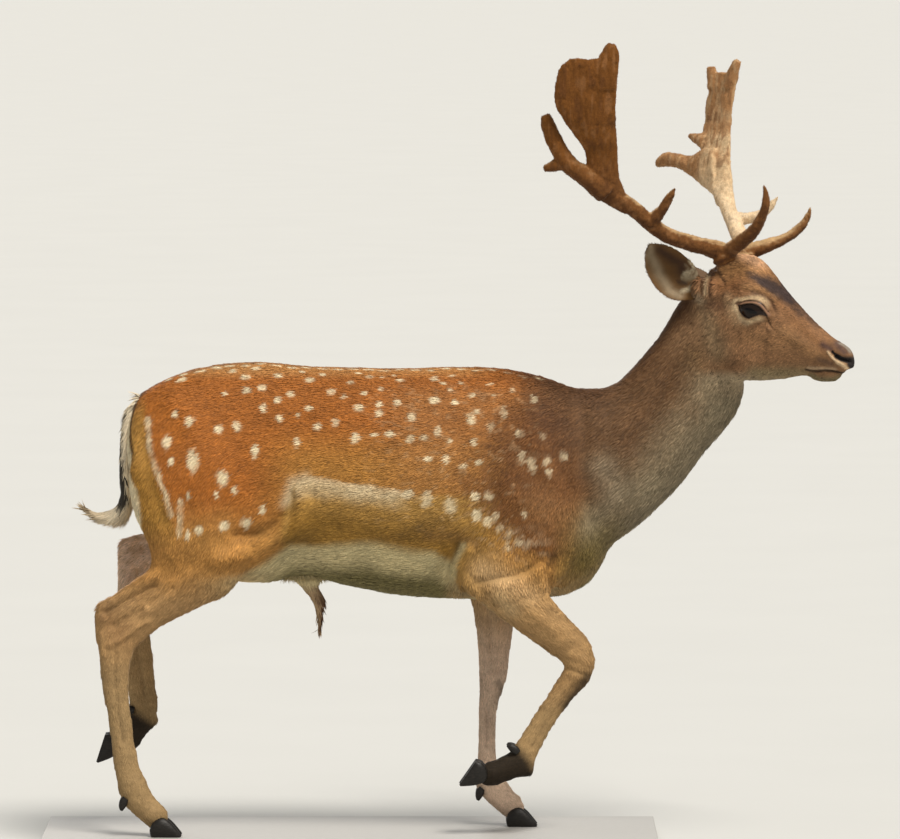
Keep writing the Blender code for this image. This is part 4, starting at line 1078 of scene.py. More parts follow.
    lay(colour, CREAM, 0.6 * fringe * fade(fleck, -0.6, 0.4))
    # A thin painted highlight along the back edge of each upper foreleg, where it meets the belly.
    arm_edge_highlight = stroke(flat, line(214, 553, 198, 520, 192, 486), 0.0065)
    lay(colour, CREAM, 0.75 * arm_edge_highlight * (np.abs(y) > 0.05))
    pastern_dark = fade(np.linalg.norm(points - (0.28, -0.078, 0.105), axis=1), 0.085, 0.06)
    lay(colour, BLACK, 0.95 * pastern_dark * (y < 0) * (x > 0))
    far_dark = fade(np.linalg.norm(points - (-0.43, 0.088, 0.15), axis=1), 0.085, 0.06)
    lay(colour, BLACK, 0.95 * far_dark * (y > 0) * (x < 0))

    half = np.interp(z, (0.6, 0.66, 0.7, 0.74, 0.79), (0.125, 0.105, 0.074, 0.05, 0.036))
    patch = np.hypot(y / half, (z - 0.68) / np.where(z < 0.68, 0.15, 0.13))
    behind = fade(x, -0.355, -0.385)
    lay(colour, WHITE, fade(patch, 1.04, 0.96) * behind)
    rim = np.exp(-(((patch - 1.14) / 0.12) ** 2)) * behind * fade(z, 0.69, 0.73)
    lay(colour, BLACK, 0.85 * rim)
    saddle = fade(np.abs(y) + 0.004 * fleck, 0.014, 0.007) * fade(z, 0.8, 0.84) * fade(x, 0.52, 0.4)
    lay(colour, UMBER, 0.55 * saddle)

    white = spotted(points, spots)
    below = line_z + 0.003 * fine - z
    band = fade(below, -0.008, 0.001) * fade(below, 0.046, 0.006)
    band = band * fade(x, -0.106, -0.094) * fade(x, 0.125, 0.085)
    hook = stroke(flat, FLANK_LINE[:4], 0.0105) * fade(z, 0.612, 0.64)
    white = np.maximum(white, 0.86 * np.maximum(band, 0.85 * hook) * (0.85 + 0.3 * broad))
    broken = 0.7 + 0.45 * grain(points, 0.016, 25)
    stripes = away(flat, HAUNCH_STRIPE) + 0.002 * fine
    white = np.maximum(white, 0.85 * broken * fade(stripes, 0.008, 0.0015))
    stripes = away(flat, SHORT_STRIPE) + 0.002 * fine
    white = np.maximum(white, 0.8 * broken * fade(stripes, 0.0085, 0.002))
    white *= fade(z, 0.5, 0.54)
    patchy = fade(grain(points, 0.03, 23), -0.3, 0.3)
    weaker = 1 - 0.45 * fade(x, 0.2, 0.32) - 0.3 * fade(x, -0.08, 0.0) * patchy
    lay(colour, WHITE, 0.92 * white * weaker)
    # Painted shade darkens the hollows of the folds and tendons and painted light brightens their
    # ridges; a broad mottle over the fore part of the body joins them.
    relief_shade_and_mottle = np.clip(24 * relief(points), -0.26, 0.1)
    relief_shade_and_mottle += 0.12 * grain(points, (0.026, 0.016, 0.018), 29) * fade(x, 0.1, 0.28)
    return colour * (1 + 0.08 * broad + 0.07 * fine + 0.1 * streak + relief_shade_and_mottle)[:, None]


# Marks of the face: a path over it in the head's frame, its width, its colour and its strength.
FACE_MARKS = (
    (line(52, 60, 80, 66, 112, 58), 0.022, (0.42, 0.21, 0.08), 0.9),
    (line(85, 90, 118, 74), 0.012, (0.62, 0.36, 0.2), 0.9),
    (line(150, 6, 183, -18, 205, -42), 0.012, (0.31, 0.15, 0.064), 0.8),
    (line(171, -30, 211, -55, 256, -80), 0.016, (0.27, 0.13, 0.054), 0.8),
    (line(10, -15, 40, -90), 0.026, (0.25, 0.175, 0.095), 0.65),
    (line(100, -60, 170, -80), 0.018, (0.27, 0.14, 0.06), 0.6),
    (line(24, -5, 52, -6), 0.013, (0.085, 0.038, 0.018), 0.75),
    (line(-4, 6, 4, 5), 0.01, (0.33, 0.27, 0.18), 0.7),
    # Painted highlight on a ridge of the folds at the ear's root, then painted shade in the grooves
    # beside it.
    (line(19, 48, 20, 16), 0.0034, (0.36, 0.27, 0.16), 0.75),
    (line(9, 59, 14, 20), 0.0034, (0.055, 0.028, 0.015), 0.8),
    (line(26, 60, 27, 15), 0.0034, (0.065, 0.032, 0.018), 0.7),
    (line(37, 59, 53, 39), 0.004, (0.07, 0.036, 0.02), 0.75),
    (line(97, 30, 128, 26, 151, 10), 0.0065, (0.4, 0.21, 0.09), 0.8),
    (line(62, 10, 70, -18, 82, -34), 0.01, (0.33, 0.215, 0.115), 0.6),
    (line(170, -52, 215, -88, 235, -100), 0.013, (0.29, 0.155, 0.064), 0.45),
    # Painted shadow in the crease under the brow, above the eye.
    (line(111, 20, 128, 15, 143, 6, 152, -12), 0.004, (0.105, 0.052, 0.028), 0.75),
    (line(110, -132, 200, -132), 0.014, (0.23, 0.175, 0.09), 0.75),
    (line(217, -138, 232, -144, 258, -144, 277, -136.5), 0.008, (0.15, 0.12, 0.062), 0.92),
    (line(2130, -1215, 2620, -1218, unit=10000), 0.0036, (0.43, 0.3, 0.18), 0.75),
    (line(241, -77, 257, -85), 0.0062, (0.075, 0.04, 0.034), 0.88),
    (line(265, -74, 282, -90), 0.007, (0.075, 0.042, 0.036), 0.8),
    (line(235, -104, 256, -112), 0.006, (0.11, 0.06, 0.036), 0.75),
)
FOREHEAD_PATCH = line(100, 52, 128, 38, 148, 26, 167, 12, 182, -6, 195, -24)


def face_colour(points, fleck):
    """The coat's colour on the head, worked out in the head's own frame."""
    h = in_head(points)
    f, s, u = h[:, 0], np.abs(h[:, 1]), h[:, 2]
    flat = h[:, [0, 2]]
    along, _, across = eye_places(h)
    fine, blotch = grain(points, 0.007, 4), grain(points, 0.022, 24)

    def near(path, width):
        return stroke(flat, path, width)

    colour = np.tile((0.215, 0.11, 0.05), (len(points), 1))
    russet = near(line(20, 45, 60, 30, 90, 42), 0.024)
    lay(colour, (0.19, 0.075, 0.026), 0.7 * russet)
    lay(colour, (0.33, 0.27, 0.17), 0.7 * fade(u, -0.122, -0.146) * fade(f, 0.2, 0.15))
    for path, width, paint, strength in FACE_MARKS:
        lay(colour, paint, strength * near(path, width))
    streak = near(FOREHEAD_PATCH, 0.0115) * fade(s, 0.05, 0.038)
    streak *= np.interp(f, (0.1, 0.13, 0.17, 0.2), (0.75, 1.0, 1.0, 0.5))
    tufted = grain(points, (0.014, 0.005, 0.005), 27) + 0.5 * fleck
    streak = fade(streak + 0.16 * blotch + 0.18 * tufted, 0.15, 0.95)
    lay(colour, (0.038, 0.026, 0.026), 0.92 * streak)
    bridge = 0.55 * near(line(195, -16, 225, -40), 0.009)
    lay(colour, (0.075, 0.048, 0.04), bridge * fade(s, 0.02, 0.01))

    beside = (s > 0.025) & (f > 0.04)
    gap = lid_gap(along, across)
    above = across > 0
    ring_at, ring_width = np.where(above, 0.0118, 0.0085), np.where(above, 0.0046, 0.0062)
    ring = np.exp(-(((gap - ring_at) / ring_width) ** 2))
    ring *= beside * fade(along, 0.032, 0.014) * np.where(above, 0.75, 0.85)
    lay(colour, (0.6, 0.44, 0.26), ring * (1 + 0.2 * fine))
    lid = np.exp(-(((gap - 0.0042) / 0.002) ** 2)) * beside * above
    lay(colour, (0.23, 0.125, 0.08), 0.75 * lid)
    # Painted shadow of the upper lid, in the crease above the eye.
    crease = np.exp(-(((gap - 0.0072) / 0.0012) ** 2)) * beside * above * fade(along, 0.03, 0.02)
    lay(colour, (0.06, 0.032, 0.022), 0.8 * crease)
    rim = fade(gap, 0.0028, 0.0012) * beside
    tear = fade(away(flat, TEAR), 0.0024, 0.0008) * beside * fade(u, -0.054, -0.04)
    lay(colour, (0.018, 0.011, 0.008), np.maximum(0.95 * rim, 0.75 * tear))

    # Painted highlight along the top of the nose.
    nose_top_highlight = near(line(270, -77, 286, -88), 0.006) * fade(s, 0.013, 0.006)
    lay(colour, (0.33, 0.28, 0.22), 0.75 * nose_top_highlight)
    pale = near(NOSTRIL_RIM, 0.0022) + 0.9 * near(NOSTRIL_RIM[3:], 0.0042)
    lay(colour, (0.7, 0.5, 0.3), 0.92 * np.minimum(pale, 1) * (s > 0.004))
    nose = fade(f + 0.25 * (u + 0.1), 0.28, 0.2845)
    nose = nose * fade(u, -0.129, -0.1262) * fade(u, -0.094, -0.103)
    slit = fade(away(flat, NOSTRIL), 0.0058, 0.004)
    slit = np.maximum(slit, fade(away(flat, NOSTRIL_TAIL), 0.0034, 0.002))
    lay(colour, (0.02, 0.016, 0.015), np.maximum(nose, slit * (s > 0.003)))
    # Painted shadow along the mouth's line.
    mouth = fade(away(flat, MOUTH), 0.0034, 0.0008)
    lay(colour, (0.034, 0.02, 0.013), 0.85 * mouth)
    return colour * (1 + 0.16 * fine + 0.17 * blotch + 0.15 * fleck)[:, None]


def coat_colour(points, fleck, spots):
    """The markings that skin and coat share, with painted shade in folds and creases and a few
    painted highlights.
    """
    h = in_head(points)
    face = fade(h[:, 0] + 0.1 * (h[:, 2] + 0.05), -0.03, 0.03) * fade(h[:, 2], -0.2, -0.15)
    face *= fade(points[:, 0], 0.6, 0.66)
    body = body_colour(points, fleck, spots)
    return body + (face_colour(points, fleck) - body) * face[:, None]


# The same inside an ear: painted shade in its hollows, its pale curl and band, and its rim.
EAR_CURL = line(-10, 74, -3, 67, -6, 58, -13, 54, -24, 51)
EAR_BAND = line(-26, 20, -11, 25, -2, 34)
EAR_MARKS = (
    (line(-74, 105, -77, 88, -66, 50, -47, 20, -30, 11), 0.007, (0.4, 0.32, 0.21), 0.6),
    # Painted shade in the ear's hollows.
    (line(-59.5, 95, -45, 81, -25.5, 70.5, -29, 56), 0.012, (0.045, 0.021, 0.01), 0.95),
    (line(-34, 37, -22, 34), 0.0045, (0.028, 0.015, 0.01), 0.92),
    (line(-20, 44, -12, 45), 0.006, (0.3, 0.245, 0.16), 0.75),
    (EAR_CURL, 0.0028, (0.6, 0.5, 0.34), 0.85),
    (EAR_BAND, 0.0034, (0.56, 0.47, 0.32), 0.8),
    (line(3, 66, 1, 56, -4, 46), 0.0034, (0.52, 0.43, 0.29), 0.75),
    (line(-20, 68, -14, 61, -19, 58), 0.002, (0.33, 0.265, 0.17), 0.65),
    (line(-30, 44, -18, 47, -9, 47), 0.0022, (0.35, 0.28, 0.18), 0.65),
)
FAR_EAR = np.array((0.022, 0.045))


def ear_places(points, normals, hand):
    """Each point's place on the near ear's pattern, and how far it faces into the ear."""
    h = in_head(points)
    out = in_head(points + normals) - h
    flat = h[:, [0, 2]] + (FAR_EAR if hand > 0 else 0)
    return flat, fade(out[:, 1] * hand + 0.5 * out[:, 0], 0.1, 0.6)


def ear_colour(points, normals, hand):
    """Grey-brown behind, paler inside, with painted shade in the hollows and a pale curl."""
    flat, inside = ear_places(points, normals, hand)
    colour = np.tile((0.15, 0.09, 0.05), (len(points), 1))
    lay(colour, (0.12, 0.056, 0.014), 0.9 * inside)
    for path, width, paint, strength in EAR_MARKS:
        lay(colour, paint, strength * inside * stroke(flat, path, width))
    return colour * (1 + 0.12 * grain(points, 0.008, 5))[:, None]


# ---------------------------------------------------------------- how the coat lies

# The lie of the hair: a place on the side, forward and up, and where the hair points from there.
BODY_LIE = (
    (0.46, 0.8, -0.6, -0.8), (0.4, 0.72, -0.45, -0.89), (0.34, 0.82, -0.85, -0.5),
    (0.3, 0.6, -0.5, -0.86), (0.38, 0.55, -0.3, -0.95), (0.46, 0.58, -0.35, -0.93),
    (0.2, 0.82, -0.98, -0.2), (0.18, 0.62, -0.92, -0.38), (0.1, 0.52, -0.98, -0.1),
    (0.02, 0.82, -0.99, -0.1), (0.02, 0.64, -0.97, -0.22), (-0.02, 0.5, -0.99, 0.05),
    (-0.18, 0.84, -0.99, -0.12), (-0.18, 0.68, -0.93, -0.36), (-0.17, 0.56, -0.8, -0.6),
    (-0.3, 0.8, -0.92, -0.38), (-0.3, 0.66, -0.62, -0.78), (-0.32, 0.54, -0.45, -0.89),
    (-0.4, 0.76, -0.45, -0.89), (-0.4, 0.62, -0.2, -0.98),
)
# The same over the face, in the head's frame, for the hair runs up from the nose.
FACE_LIE = (
    (0.29, -0.09, -0.7, 0.7), (0.25, -0.08, -0.92, 0.4), (0.24, -0.12, -0.98, -0.1),
    (0.2, -0.05, -0.9, 0.42), (0.19, -0.11, -1.0, -0.05), (0.15, 0.02, -0.8, 0.6),
    (0.14, -0.07, -0.98, -0.05), (0.12, 0.06, -0.85, 0.5), (0.08, 0.04, -0.99, 0.15),
    (0.08, -0.05, -0.97, -0.22), (0.07, -0.12, -0.95, -0.3), (0.03, 0.06, -0.98, 0.1),
    (0.02, -0.03, -0.92, -0.4), (0.02, -0.1, -0.8, -0.6),
)


def chain_lie(rows, near, far):
    """Guides down the middle of a neck or limb, each with its direction and its reach."""
    rings = smooth_rows(rows, 2)
    middle = (rings[:, 0:3] + rings[:, 3:6]) / 2
    along = unit_long(np.gradient(middle, axis=0))
    reach = np.linalg.norm(rings[:, 0:3] - rings[:, 3:6], axis=1) / 2
    return [(m, a, r) for m, a, r in zip(middle, along, reach)][near:far]


def lie_guides():
    """Places over the body, the hair's direction at each, and how far each one's word carries."""
    found = []
    for x, z, ahead, up in BODY_LIE:
        found += [((x, hand * 0.12, z), (ahead, 0, up), 0.095) for hand in (-1, 1)]
    turn = HEAD.to_3x3()
    for f, u, ahead, up in FACE_LIE:
        for hand in (-1, 1):
            place = HEAD @ Vector((f, hand * 0.035, u))
            found.append((tuple(place), tuple(turn @ Vector((ahead, 0, up))), 0.03))
    found += [(m, -a, max(r, 0.05)) for m, a, r in chain_lie(neck(), 3, -2)]
    limbs = ((near_hind_leg, 6), (far_hind_leg, 6), (near_fore_leg, 6), (far_fore_leg, 4))
    for limb, first in limbs:
        found += [(m, a, max(r, 0.03)) for m, a, r in chain_lie(limb(), first, None)]
    for name in FEET:
        place = foot_place(name) @ hoof_curl(name, 0.5)
        down = place.to_3x3() @ Vector((0.55, 0, -0.83))
        for spot in ((0.012, 0, -0.015), (0.034, 0, -0.045)):
            found.append((tuple(place @ Vector(spot)), tuple(down), 0.025))
    places, ways, reaches = zip(*found)
    return np.array(places, float), np.array(ways, float), np.array(reaches, float)


def laid_flat(ways, normals):
    """Directions brought flat against the skin."""
    return unit_long(ways - normals * np.sum(ways * normals, axis=1)[:, None])


def lie_of(points, normals, guides):
    """The hair's direction at each point, laid flat on the skin."""
    places, ways, reaches = guides
    found = np.empty_like(points)
    for start in range(0, len(points), 20000):
        part = slice(start, start + 20000)
        gap = np.linalg.norm(points[part, None] - places, axis=2)
        say = np.exp(-((gap / reaches) ** 2)) + 1e-5 / (gap**2 + 1e-3)
        found[part] = say @ ways
    return laid_flat(found, normals)


def swung(ways, normals, angle):
    """Directions on the skin, turned about its normals."""
    cosine, sine = np.cos(angle)[:, None], np.sin(angle)[:, None]
    return ways * cosine + np.cross(normals, ways) * sine


def scattered(piece, density):
    """Roots strewn over a piece as thickly as the density, in roots to the square metre, says."""
    mesh = piece.data
    mesh.calc_loop_triangles()
    count = len(mesh.loop_triangles)
    corners, loops = np.empty(count * 3, np.int32), np.empty(count * 3, np.int32)
    mesh.loop_triangles.foreach_get("vertices", corners)
    mesh.loop_triangles.foreach_get("loops", loops)
    corners, loops = corners.reshape(-1, 3), loops.reshape(-1, 3)
    points, normals = points_of(mesh), normals_of(mesh)
    unwrap = np.empty(len(mesh.loops) * 2, np.float32)
    mesh.uv_layers[MAP].data.foreach_get("uv", unwrap)
    unwrap = unwrap.reshape(-1, 2)[loops]
    faces = points[corners]
    sides = np.cross(faces[:, 1] - faces[:, 0], faces[:, 2] - faces[:, 0])
    area = np.linalg.norm(sides, axis=1) / 2
    expected = area * density(faces.mean(axis=1), normals[corners].mean(axis=1))
    chosen = np.repeat(np.arange(count), np.floor(expected + CHANCE.random(count)).astype(int))
    share = CHANCE.random((len(chosen), 2))
    share = np.where(share.sum(axis=1)[:, None] > 1, 1 - share, share)
    share = np.column_stack([1 - share.sum(axis=1), share])[..., None]
    normal = unit_long((normals[corners[chosen]] * share).sum(axis=1))
    return (faces[chosen] * share).sum(axis=1), normal, (unwrap[chosen] * share).sum(axis=1)


def toned(mesh, colour):
    """Paints a mesh point by point."""
    tone = np.ones((len(colour), 4), np.float32)
    tone[:, :3] = np.clip(colour, 0, 1)
    attribute = mesh.color_attributes.new(PAINT, "FLOAT_COLOR", "POINT")
    attribute.data.foreach_set("color", tone.ravel())


def blades(name, roots, normals, unwrap, ways, length, width, lift, colour):
    """One mesh of thin ridged locks, each with its patch of the unwrap round its root's place."""
    count = len(roots)
    across = np.cross(normals, ways)
    length, width, rise = length[:, None], width[:, None], np.sin(lift)[:, None]
    foot = roots - normals * 0.0005
    middle = foot + ways * 0.42 * length + normals * length * rise * 0.62
    tip = foot + ways * length * np.cos(lift)[:, None] + normals * length * rise
    left, right = middle + across * width * 0.5, middle - across * width * 0.5
    ridge = middle + normals * width * 0.28
    points = np.stack([foot, right, ridge, left, tip], axis=1)
    faces = np.array(((0, 1, 2), (0, 2, 3), (1, 4, 2), (2, 4, 3)))
    corners = (np.arange(count)[:, None, None] * 5 + faces).reshape(-1)
    mesh = bpy.data.meshes.new(name)
    mesh.vertices.add(count * 5)
    mesh.vertices.foreach_set("co", points.astype(np.float32).ravel())
    mesh.loops.add(count * 12)
    mesh.loops.foreach_set("vertex_index", corners.astype(np.int32))
    mesh.polygons.add(count * 4)
    mesh.polygons.foreach_set("loop_start", np.arange(0, count * 12, 3, dtype=np.int32))
    mesh.polygons.foreach_set("use_smooth", np.ones(count * 4, bool))
    mesh.update(calc_edges=True)
    shade = np.array((0.72, 0.94, 1.0, 0.94, 1.1))
    toned(mesh, (colour[:, None] * shade[None, :, None]).reshape(-1, 3))
    patch = 0.0015 * np.array(((-1, 0), (0, -1), (0, 0), (0, 1), (1, 0)))
    places = (0.0016 + 0.9968 * unwrap)[:, None] + patch
    layer = mesh.uv_layers.new(name=MAP)
    layer.data.foreach_set("uv", places.reshape(-1, 2)[corners].astype(np.float32).ravel())
    return placed(name, mesh)


def unwrapped(piece):
    """Gives a piece its map, cut along its own bends."""
    take(piece)
    piece.data.uv_layers.new(name=MAP)
    project = bpy.ops.uv.smart_project
    return edited(piece, project, angle_limit=math.radians(70), island_margin=0.001)


def face_share(points):
    """How far each point is of the face, from 0 on the neck to 1."""
    h = in_head(points)
    return fade(h[:, 0], -0.05, 0.03) * fade(h[:, 2], -0.22, -0.15) * (points[:, 0] > 0.6)


def coat_cut(points, normals):
    """The length, width, lift and cover of the locks at each point."""
    h = in_head(points)
    x, _, z = points.T
    length = 0.0128 + 0.003 * fade(normals[:, 2], -0.3, -0.8)
    length += 0.001 * fade(x, 0.42, 0.5)
    length += (0.0085 - length) * fade(z, 0.47, 0.38)
    length += (0.007 - length) * fade(z, 0.24, 0.16)
    face = face_share(points)
    from_crown = (0.0, 0.08, 0.16, 0.24, 0.29)
    on_face = np.interp(h[:, 0], from_crown, (0.0105, 0.008, 0.0065, 0.0045, 0.0028))
    along, _, across = eye_places(h)
    eye_gap = np.hypot(along / 0.038, across / 0.026)
    on_face *= 0.55 + 0.45 * fade(eye_gap, 0.8, 1.4)
    length += (on_face - length) * face
    width = length * (0.14 + 0.1 * face)
    lift = 0.15 + 0.03 * fade(x, 0.42, 0.52) * (1 - face) - 0.02 * face
    cover = 1.75 - 0.55 * fade(z, 0.47, 0.38) + 0.05 * face
    return length, width, lift, cover


def bare(points):
    """Where no hair grows: the nose, the nostrils, the mouth's line and the eyes."""
    h = in_head(points)
    f, s, u = h[:, 0], np.abs(h[:, 1]), h[:, 2]
    along, _, across = eye_places(h)
    eye = np.abs(across) < lid_edge(along, across) + 0.0014
    eye &= (np.abs(along) < EYE_LONG + 0.0015) & (s > 0.02)
    nose = (f + 0.25 * (u + 0.1) > 0.281) & (u > -0.1275)
    flat = h[:, [0, 2]]
    slit = (away(flat, NOSTRIL) < 0.0048) | (away(flat, NOSTRIL_TAIL) < 0.0026)
    mouth = away(flat, MOUTH) < 0.0018
    return (f > 0) & (points[:, 0] > 0.6) & (eye | nose | (slit & (s > 0.003)) | mouth)


# The regions of the coat: the name of each one's pieces, and their slot.
COAT_REGIONS = (
    ("coat_of_body", "coat_brown"), ("coat_of_neck", "neck_grey"), ("coat_of_legs", "leg_buff"),
)


def coat(body, guides, spots):
    """The locks over the whole skin, in layers that each cover all of it."""

    def density(points, normals):
        length, width, _, cover = coat_cut(points, normals)
        return np.where(bare(points), 0, 2 * cover / (length * width))

    roots, normals, unwrap = scattered(body, density)
    length, width, lift, _ = coat_cut(roots, normals)
    count = len(roots)
    ways = lie_of(roots, normals, guides)
    swirl = 0.14 * grain(roots, 0.06, 6) + 0.1 * grain(roots, 0.014, 7)
    ways = swung(ways, normals, swirl + 0.1 * CHANCE.standard_normal(count))
    clump = grain(roots, 0.01, 8)
    lift = lift * (1 + 0.35 * clump) * CHANCE.uniform(0.6, 1.35, count)
    length = length * (1 + 0.1 * clump) * CHANCE.uniform(0.75, 1.2, count)
    fleck = CHANCE.uniform(-1, 1, count)
    colour = coat_colour(roots + ways * (0.4 * length)[:, None], fleck, spots)
    face = face_share(roots)
    varied = (0.16 + 0.08 * face) * CHANCE.standard_normal(count) + (0.08 + 0.1 * face) * clump
    colour = colour * (1 + varied)[:, None]
    region = np.where((roots[:, 2] < 0.44) & (np.abs(roots[:, 1]) > 0.02), 2, 0)
    region[(roots[:, 0] + 0.4 * (roots[:, 2] - 0.75) > 0.46) & (roots[:, 2] > 0.5)] = 1
    made = []
    for number, (name, slot) in enumerate(COAT_REGIONS):
        mine = CHANCE.permutation(np.flatnonzero(region == number))
        layers = math.ceil(len(mine) / TUFTS_TO_A_PIECE)
        for layer in range(layers):
            part = mine[layer::layers]
            given = (x[part] for x in (roots, normals, unwrap, ways, length, width, lift, colour))
            made.append((blades(f"{name}_{layer + 1}", *given), slot))
    return made


# ---------------------------------------------------------------- finishes


def new_look(name, roughness, **settings):
    look = bpy.data.materials.new(name)
    look.use_nodes = True
    shader = look.node_tree.nodes["Principled BSDF"]
    shader.inputs["Roughness"].default_value = roughness
    for socket, value in settings.items():
        shader.inputs[socket.replace("_", " ")].default_value = value
    return look


def node(look, kind, **values):
    made = look.node_tree.nodes.new(kind)
    for key, value in values.items():
        if key in made.inputs:
            made.inputs[key].default_value = value
        else:
            setattr(made, key, value)
    return made


def speckled(look, colour, size, low, high, stretch=(1, 1, 1)):
    """Lays a fine light and dark grain over a colour, and gives the grain."""
    links = look.node_tree.links
    place = node(look, "ShaderNodeTexCoord")
    mapping = node(look, "ShaderNodeMapping", Scale=stretch)
    links.new(place.outputs["Object"], mapping.inputs["Vector"])
    noise = node(look, "ShaderNodeTexNoise", Scale=1 / size, Detail=3.0)
    links.new(mapping.outputs["Vector"], noise.inputs["Vector"])
    spread = node(look, "ShaderNodeMapRange")
    for socket, value in zip(("From Min", "From Max", "To Min", "To Max"), (0.3, 0.7, low, high)):
        spread.inputs[socket].default_value = value
    links.new(noise.outputs["Fac"], spread.inputs["Value"])
    scale = node(look, "ShaderNodeVectorMath", operation="SCALE")
    links.new(colour, scale.inputs[0])
    links.new(spread.outputs["Result"], scale.inputs["Scale"])
    links.new(scale.outputs["Vector"], look.node_tree.nodes["Principled BSDF"].inputs["Base Color"])
    return noise.outputs["Fac"]


def bumped(look, height, distance):
    bump = node(look, "ShaderNodeBump", Strength=0.6, Distance=distance)
    look.node_tree.links.new(height, bump.inputs["Height"])
    shader = look.node_tree.nodes["Principled BSDF"]
    look.node_tree.links.new(bump.outputs["Normal"], shader.inputs["Normal"])


def painted_look(name, roughness, size, low, high, bump=0.0, **settings):
    """A finish that takes its colour from the piece's own paint."""
    look = new_look(name, roughness, **settings)
    paint = node(look, "ShaderNodeAttribute", attribute_name=PAINT)
    grained = speckled(look, paint.outputs["Color"], size, low, high)
    if bump:
        bumped(look, grained, bump)
    return look


def plain_look(name, colour, roughness, size, low, high, bump, stretch=(1, 1, 1), **settings):
    """A finish of one colour with a grain in it."""
    look = new_look(name, roughness, **settings)
    paint = node(look, "ShaderNodeRGB")
    paint.outputs[0].default_value = (*colour, 1)
    grained = speckled(look, paint.outputs[0], size, low, high, stretch)
    bumped(look, grained, bump)
    return look


# ---------------------------------------------------------------- ears, eyes, antlers, hooves


def eyeball(name, hand):
    """A dark eye with a level pupil, set in the head at the slope of its lids."""
    bpy.ops.mesh.primitive_uv_sphere_add(segments=64, ring_count=40, radius=1.0)
    piece = bpy.context.active_object
    piece.name = name
    piece.data.transform(Matrix.Rotation(math.pi / 2, 4, "X"))
    unit = points_of(piece.data)
    along, outside, across = unit[:, 0], unit[:, 1] * hand, unit[:, 2]
    bulge = 1 + 0.05 * np.exp(-((along**2 + across**2) / 0.2)) * (outside > 0)
    unit *= bulge[:, None]
    set_points(piece.data, unit)
    pupil = fade(np.hypot(along / 0.42, across / 0.17), 1.1, 0.9)
    iris = fade(np.hypot(along, across), 0.8, 0.7)
    colour = np.tile((0.04, 0.026, 0.02), (len(unit), 1))
    lay(colour, (0.016, 0.009, 0.006), iris)
    lay(colour, (0.004, 0.003, 0.003), pupil)
    toned(piece.data, colour)
    middle = Vector((EYE_MIDDLE[0], hand * EYE_MIDDLE[1], EYE_MIDDLE[2]))
    place = Matrix.Translation(middle) @ Matrix.Rotation(-EYE_SLOPE, 4, "Y")
    return shaded(transformed(piece, HEAD @ place @ Matrix.Diagonal((*EYEBALL, 1))))


def antler(name, forms):
    """An antler in velvet: fused, softened, and roughened with the furrows of its veins."""
    whole = fused(name, forms, ANTLER_VOXEL)
    mesh = whole.data
    points = relaxed(points_of(mesh), edges_of(mesh), 0.9, rounds=12, push=1.02)
    set_points(mesh, points)
    normals = normals_of(mesh)
    lumps = 0.0011 * grain(points, 0.016, 11) + 0.0006 * grain(points, 0.007, 12)
    veins = np.abs(grain(points, (0.02, 0.02, 0.05), 13))
    lumps -= 0.001 * fade(veins, 0.12, 0.02)
    upright = fade(points[:, 2], 0.2, 0.27)
    lumps += 0.0009 * upright * grain(points, (0.004, 0.004, 0.026), 18)
    lumps += 0.0006 * (1 - upright) * grain(points, 0.0045, 18)
    set_points(mesh, points + normals * lumps[:, None])
    return shaded(transformed(whole, HEAD))


def antler_colour(points, normals, far):
    """Brown velvet, with a painted highlight along the tops of the beams and painted shade beneath
    them. The far antler's front is painted paler.
    """
    h = in_head(points)
    f, s, u = h.T
    upright = fade(u, 0.2, 0.27)
    streak = upright * grain(points, (0.005, 0.005, 0.04), 14)
    streak += (1 - upright) * grain(points, 0.009, 20)
    blotch = grain(points, 0.024, 16)
    low = fade(u, 0.29, 0.2)
    colour = np.tile((0.18, 0.068, 0.015), (len(points), 1))
    lay(colour, (0.26, 0.125, 0.05) if far else (0.195, 0.084, 0.03), 0.6 * low)
    # Painted highlight on the upward-facing velvet of the beams.
    lit_from, lit_to = (0.05, 0.8) if far else (0.35, 0.9)
    lit = low * fade(normals[:, 2] + 0.2 * blotch, lit_from, lit_to)
    lay(colour, (0.64, 0.43, 0.22) if far else (0.6, 0.4, 0.2), 0.85 * lit)
    # Painted shade on the downward-facing velvet.
    under = low * fade(normals[:, 2], 0.0, -0.7)
    lay(colour, (0.075, 0.029, 0.012), 0.8 * under)
    if far:
        raised = np.maximum(fade(s, 0.036, 0.056) * fade(f, 0.095, 0.075), fade(s, 0.086, 0.098))
        raised *= fade(u, 0.08, 0.11)
        lay(colour, (0.45, 0.24, 0.105), 0.88 * raised)
        front = fade(f + 0.012 * blotch, -0.098, -0.06) * fade(u + 0.05 * blotch, 0.37, 0.26)
        kept = 1 - 0.45 * upright * fade(streak, 0.25, -0.25)
        lay(colour, (0.74, 0.54, 0.32), raised * front * kept)
        # The far antler's front is painted paler still towards its bottom, varied by the streaks.
        paler_low_front = raised * front * fade(u, 0.25, 0.15) * (0.75 + 0.5 * streak)
        lay(colour, (0.9, 0.72, 0.5), 0.75 * paler_low_front)
        furrowed = 0.5 * raised * upright
        lay(colour, (0.31, 0.155, 0.07), furrowed * fade(streak, -0.2, -0.45))
        lay(colour, (0.62, 0.43, 0.24), furrowed * fade(streak, 0.15, 0.45))
    some = 0.35 if far else 1.0
    lay(colour, (0.3, 0.145, 0.06), 0.35 * some * fade(streak + 0.4 * blotch, 0.2, 0.65))
    lay(colour, (0.1, 0.04, 0.016), 0.4 * some * fade(streak + 0.4 * blotch, -0.25, -0.65))
    varied = 0.14 * blotch + 0.1 * grain(points, 0.006, 17) + 0.12 * grain(points, 0.003, 30)
    return colour * (1 + varied)[:, None]


